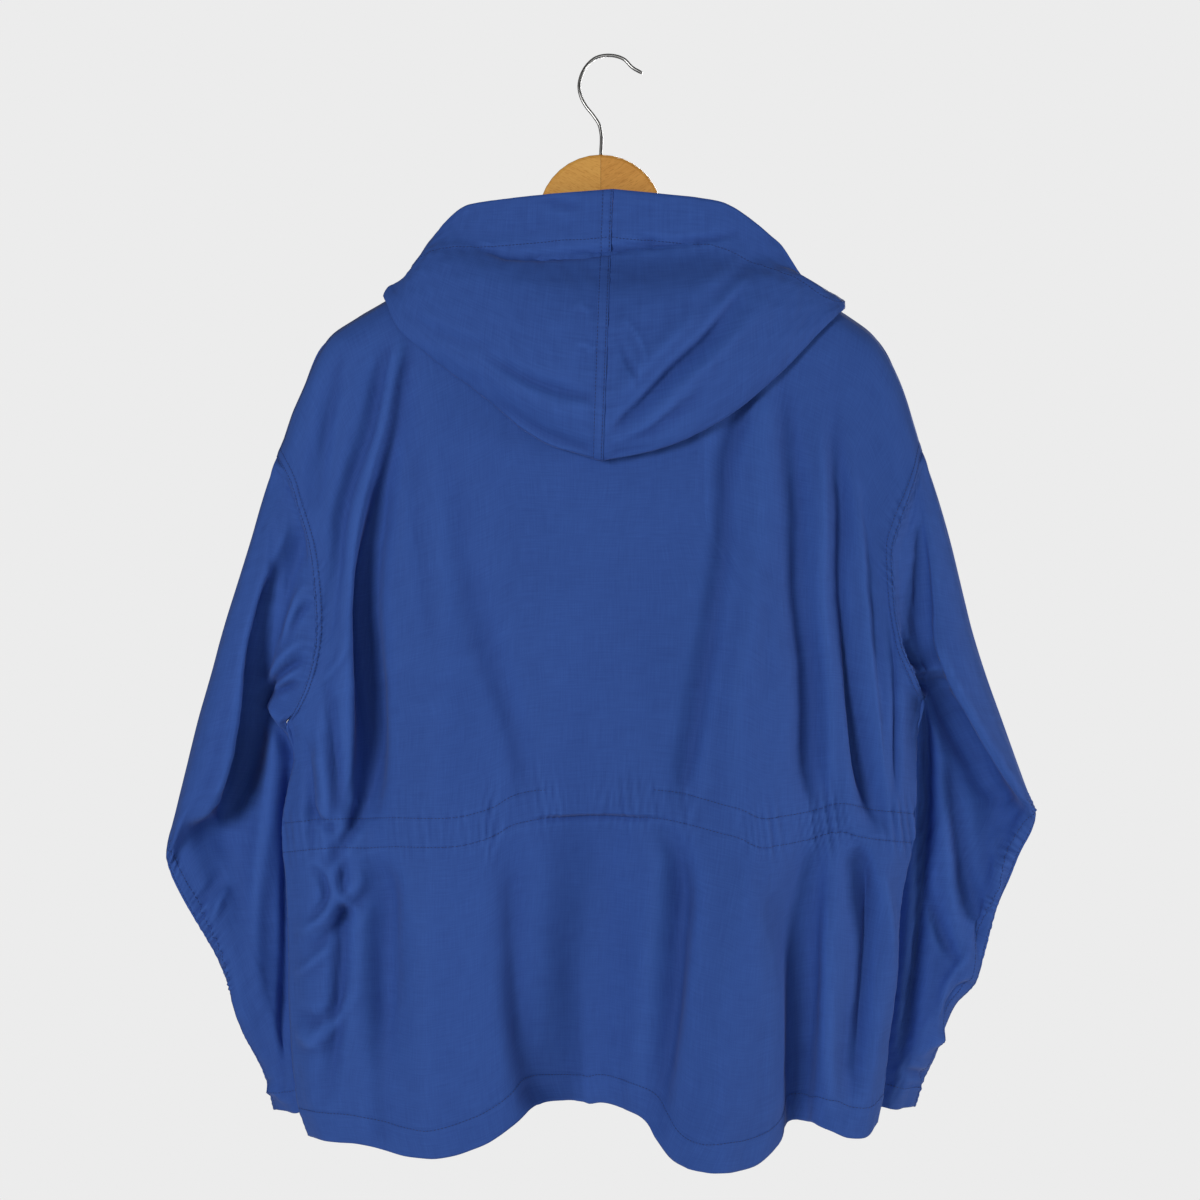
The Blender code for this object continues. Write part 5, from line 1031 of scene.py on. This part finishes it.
for side, outwards in RIMS.items():
    wall = corners(f"hood_{side}", RIM_CORNER, outwards, DOWN, *HOOD_GAPS)
    neck = wall[-1:] * NECK_IN - NECK_DROP
    wall = np.concatenate([wall, neck])
    centre = "first column"
    at_centre = {0: 1.2, 1: 1.6}
    if side == "right":
        wall, centre = wall[:, ::-1], "last column"
        at_centre = {-1: 1.2, -2: 1.6}
    wall = fine_wall(wall, HOOD_STEP, (), at_centre)[0]
    # Creases lie on the outside only, and the crumple fades where the cloth turns away.
    backwards = normals(wall)[..., 1]
    height = creased(*in_view(wall), HOOD_CREASES[side]) * (1 - soft_step(-backwards, -0.2, 0.1))
    crumple = crumpled(wall, size=17.0, height=0.34, seed=11 + len(side))
    height += crumple * soft_step(abs(backwards), 0.1, 0.6)
    inset, along = from_edge(wall, centre)
    if side == "left":
        height += felled(inset, along, width=HOOD_FELL, thick=0.9, pucker=0.45, pitch=HOOD_PITCH)
    else:
        height += 0.45 * uneven(along, HOOD_PITCH) * np.exp(-(inset / 8) ** 2)
    height += turned_edge(wall, RIM_CASING, pucker=0.3)
    hood, wall = cloth_piece(f"hood.{side}", wall, height, blue_cotton)
    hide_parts(f"hood_{side}")
    sewn = [line_in(wall, "first row", RIM_CASING)]
    if side == "left":
        sewn += [line_in(wall, centre, inset) for inset in sewn_rows(HOOD_FELL)]
    seams = stitching(f"hood.{side}.seams", sewn)


# ---- Wire hook ----
# One bent steel wire, bright drawn and plated, that goes down into the hanger's head. Its
# end is cut and rounded.
WIRE = 2.8
WIRE_PARTS = 8
# x, z of the wire's bends, from the head of the hanger to its free end.
HOOK_LINE = [
    (6.5, -84.2), (6.5, -64.3), (7.9, -58.5), (12.8, -50.6), (19.8, -41.6), (23.7, -33.8), (25.2, -25.4),
    (23.7, -16.9), (18.7, -7.6), (11.0, -0.9), (0.0, 1.4), (-13.3, -1.9), (-20.7, -9.1), (-29.2, -14.0),
]


def drawn_wire(name):
    """Bright drawn steel wire, nickel plated: a soft metal gleam, duller in small patches."""
    material, tree, shader = new_material(name, Metallic=1.0)
    place = add(tree, "ShaderNodeTexCoord")
    # Duller patches are about 4 mm across.
    dull = add(tree, "ShaderNodeTexNoise", inputs={"Scale": 260.0, "Detail": 4.0},
               Vector=place.outputs["Object"])
    gleam = add(tree, "ShaderNodeMapRange", inputs={"To Min": 0.22, "To Max": 0.42},
                Value=dull.outputs["Fac"])
    tree.links.new(gleam.outputs["Result"], shader.inputs["Roughness"])
    plate = add(tree, "ShaderNodeMix", {"data_type": "RGBA"}, {6: linear("#a3a3a2"), 7: linear("#c4c3c0")},
                Factor=dull.outputs["Fac"])
    tree.links.new(plate.outputs[2], shader.inputs["Base Color"])
    return material


bends = np.array([(x, 0.0, z) for x, z in HOOK_LINE])[:, None, :]
path = through(bends, [WIRE_PARTS] * (len(HOOK_LINE) - 1))[:, 0]
wire = bpy.data.curves.new("hook wire", "CURVE")
wire.dimensions = "3D"
wire.bevel_depth = WIRE / 2 * MM
wire.bevel_resolution = 6
wire.use_fill_caps = True
run = wire.splines.new("POLY")
run.points.add(len(path) - 1)
for point, place in zip(run.points, path):
    point.co = (*(place * MM), 1.0)
# The free end is rounded.
for point, share in zip(reversed(run.points), (0.55, 0.88)):
    point.radius = share
wire.materials.append(drawn_wire("bright drawn steel wire"))
hook = in_scene("hook.wire", wire)
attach(hook, "root")
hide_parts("hook")


# ---- Hanger ----
# Two flat pieces of beech, glued on the centre line and lacquered, with the grain of each
# running out along its arm.
GRAIN_TILT = {"left": 24, "right": -31}
SHADES = {"left": ("#f3b95d", "#d8963f"), "right": ("#ecac54", "#cb8937")}


def beech(name, pale, dark, tilt):
    """Lacquered beech: pale warm wood with short dark flecks, under a thin satin coat."""
    material, tree, shader = new_material(name, Roughness=0.45, Coat_Weight=0.25, Coat_Roughness=0.3)
    place = add(tree, "ShaderNodeTexCoord")
    turn = add(tree, "ShaderNodeMapping", inputs={"Rotation": (0, math.radians(tilt), 0)},
               Vector=place.outputs["Object"])
    # Growth bands 3 mm apart and 60 mm long, and flecks of 0.7 mm by 5 mm.
    marks = []
    for size, detail in (((0.06, 0.006, 0.003), 4.0), ((0.005, 0.002, 0.0007), 1.0)):
        stretch = add(tree, "ShaderNodeMapping", inputs={"Scale": [1 / s for s in size]},
                      Vector=turn.outputs["Vector"])
        marks.append(add(tree, "ShaderNodeTexNoise", inputs={"Scale": 1.0, "Detail": detail},
                         Vector=stretch.outputs["Vector"]))
    bands, flecks = marks
    streak = add(tree, "ShaderNodeMapRange", inputs={"From Min": 0.56, "From Max": 0.66, "To Max": 0.6},
                 Value=flecks.outputs["Fac"])
    both = add(tree, "ShaderNodeMath", {"operation": "ADD", "use_clamp": True})
    tree.links.new(bands.outputs["Fac"], both.inputs[0])
    tree.links.new(streak.outputs["Result"], both.inputs[1])
    wood = add(tree, "ShaderNodeMix", {"data_type": "RGBA"}, {6: linear(pale), 7: linear(dark)},
               Factor=both.outputs[0])
    tree.links.new(wood.outputs[2], shader.inputs["Base Color"])
    relief = add(tree, "ShaderNodeBump", inputs={"Strength": 0.25, "Distance": 0.1 * MM},
                 Height=flecks.outputs["Fac"])
    tree.links.new(relief.outputs["Normal"], shader.inputs["Normal"])
    return material


def hide_glue(name):
    """Dried hide glue squeezed along a joint: a thin darker, slightly glossy brown line."""
    material, tree, shader = new_material(name, Roughness=0.35)
    place = add(tree, "ShaderNodeTexCoord")
    # Thick and thin spots are about 3 mm across.
    thick = add(tree, "ShaderNodeTexNoise", inputs={"Scale": 300.0, "Detail": 2.0},
                Vector=place.outputs["Object"])
    tint = add(tree, "ShaderNodeMix", {"data_type": "RGBA"}, {6: linear("#8a5a26"), 7: linear("#b27a38")},
               Factor=thick.outputs["Fac"])
    tree.links.new(tint.outputs[2], shader.inputs["Base Color"])
    relief = add(tree, "ShaderNodeBump", inputs={"Strength": 0.2, "Distance": 0.05 * MM},
                 Height=thick.outputs["Fac"])
    tree.links.new(relief.outputs["Normal"], shader.inputs["Normal"])
    return material


for side, tilt in GRAIN_TILT.items():
    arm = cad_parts[f"hanger_arm_{side}"]
    wood = beech(f"lacquered beech, {side}", *SHADES[side], tilt)
    for slot in arm.material_slots:
        slot.material = wood

# The joint: a line of glue that fills the gap between the arms, just below their faces.
JOINT_X = 6.5
JOINT_WIDTH = 0.28
JOINT_DEPTH = 10.2
JOINT_TOP, JOINT_FOOT = -85.0, -168.0
block = bmesh.new()
bmesh.ops.create_cube(block, size=1.0)
bmesh.ops.scale(block, verts=block.verts, vec=(
    JOINT_WIDTH * MM, JOINT_DEPTH * MM, (JOINT_TOP - JOINT_FOOT) * MM))
bmesh.ops.translate(block, verts=block.verts, vec=(JOINT_X * MM, 0, (JOINT_TOP + JOINT_FOOT) / 2 * MM))
glue_mesh = bpy.data.meshes.new("hanger.joint")
block.to_mesh(glue_mesh)
block.free()
glue_mesh.materials.append(hide_glue("hide glue"))
joint = in_scene("hanger.joint", glue_mesh)
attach(joint, "root")


# ---- Size, and the end ----
low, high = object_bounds()
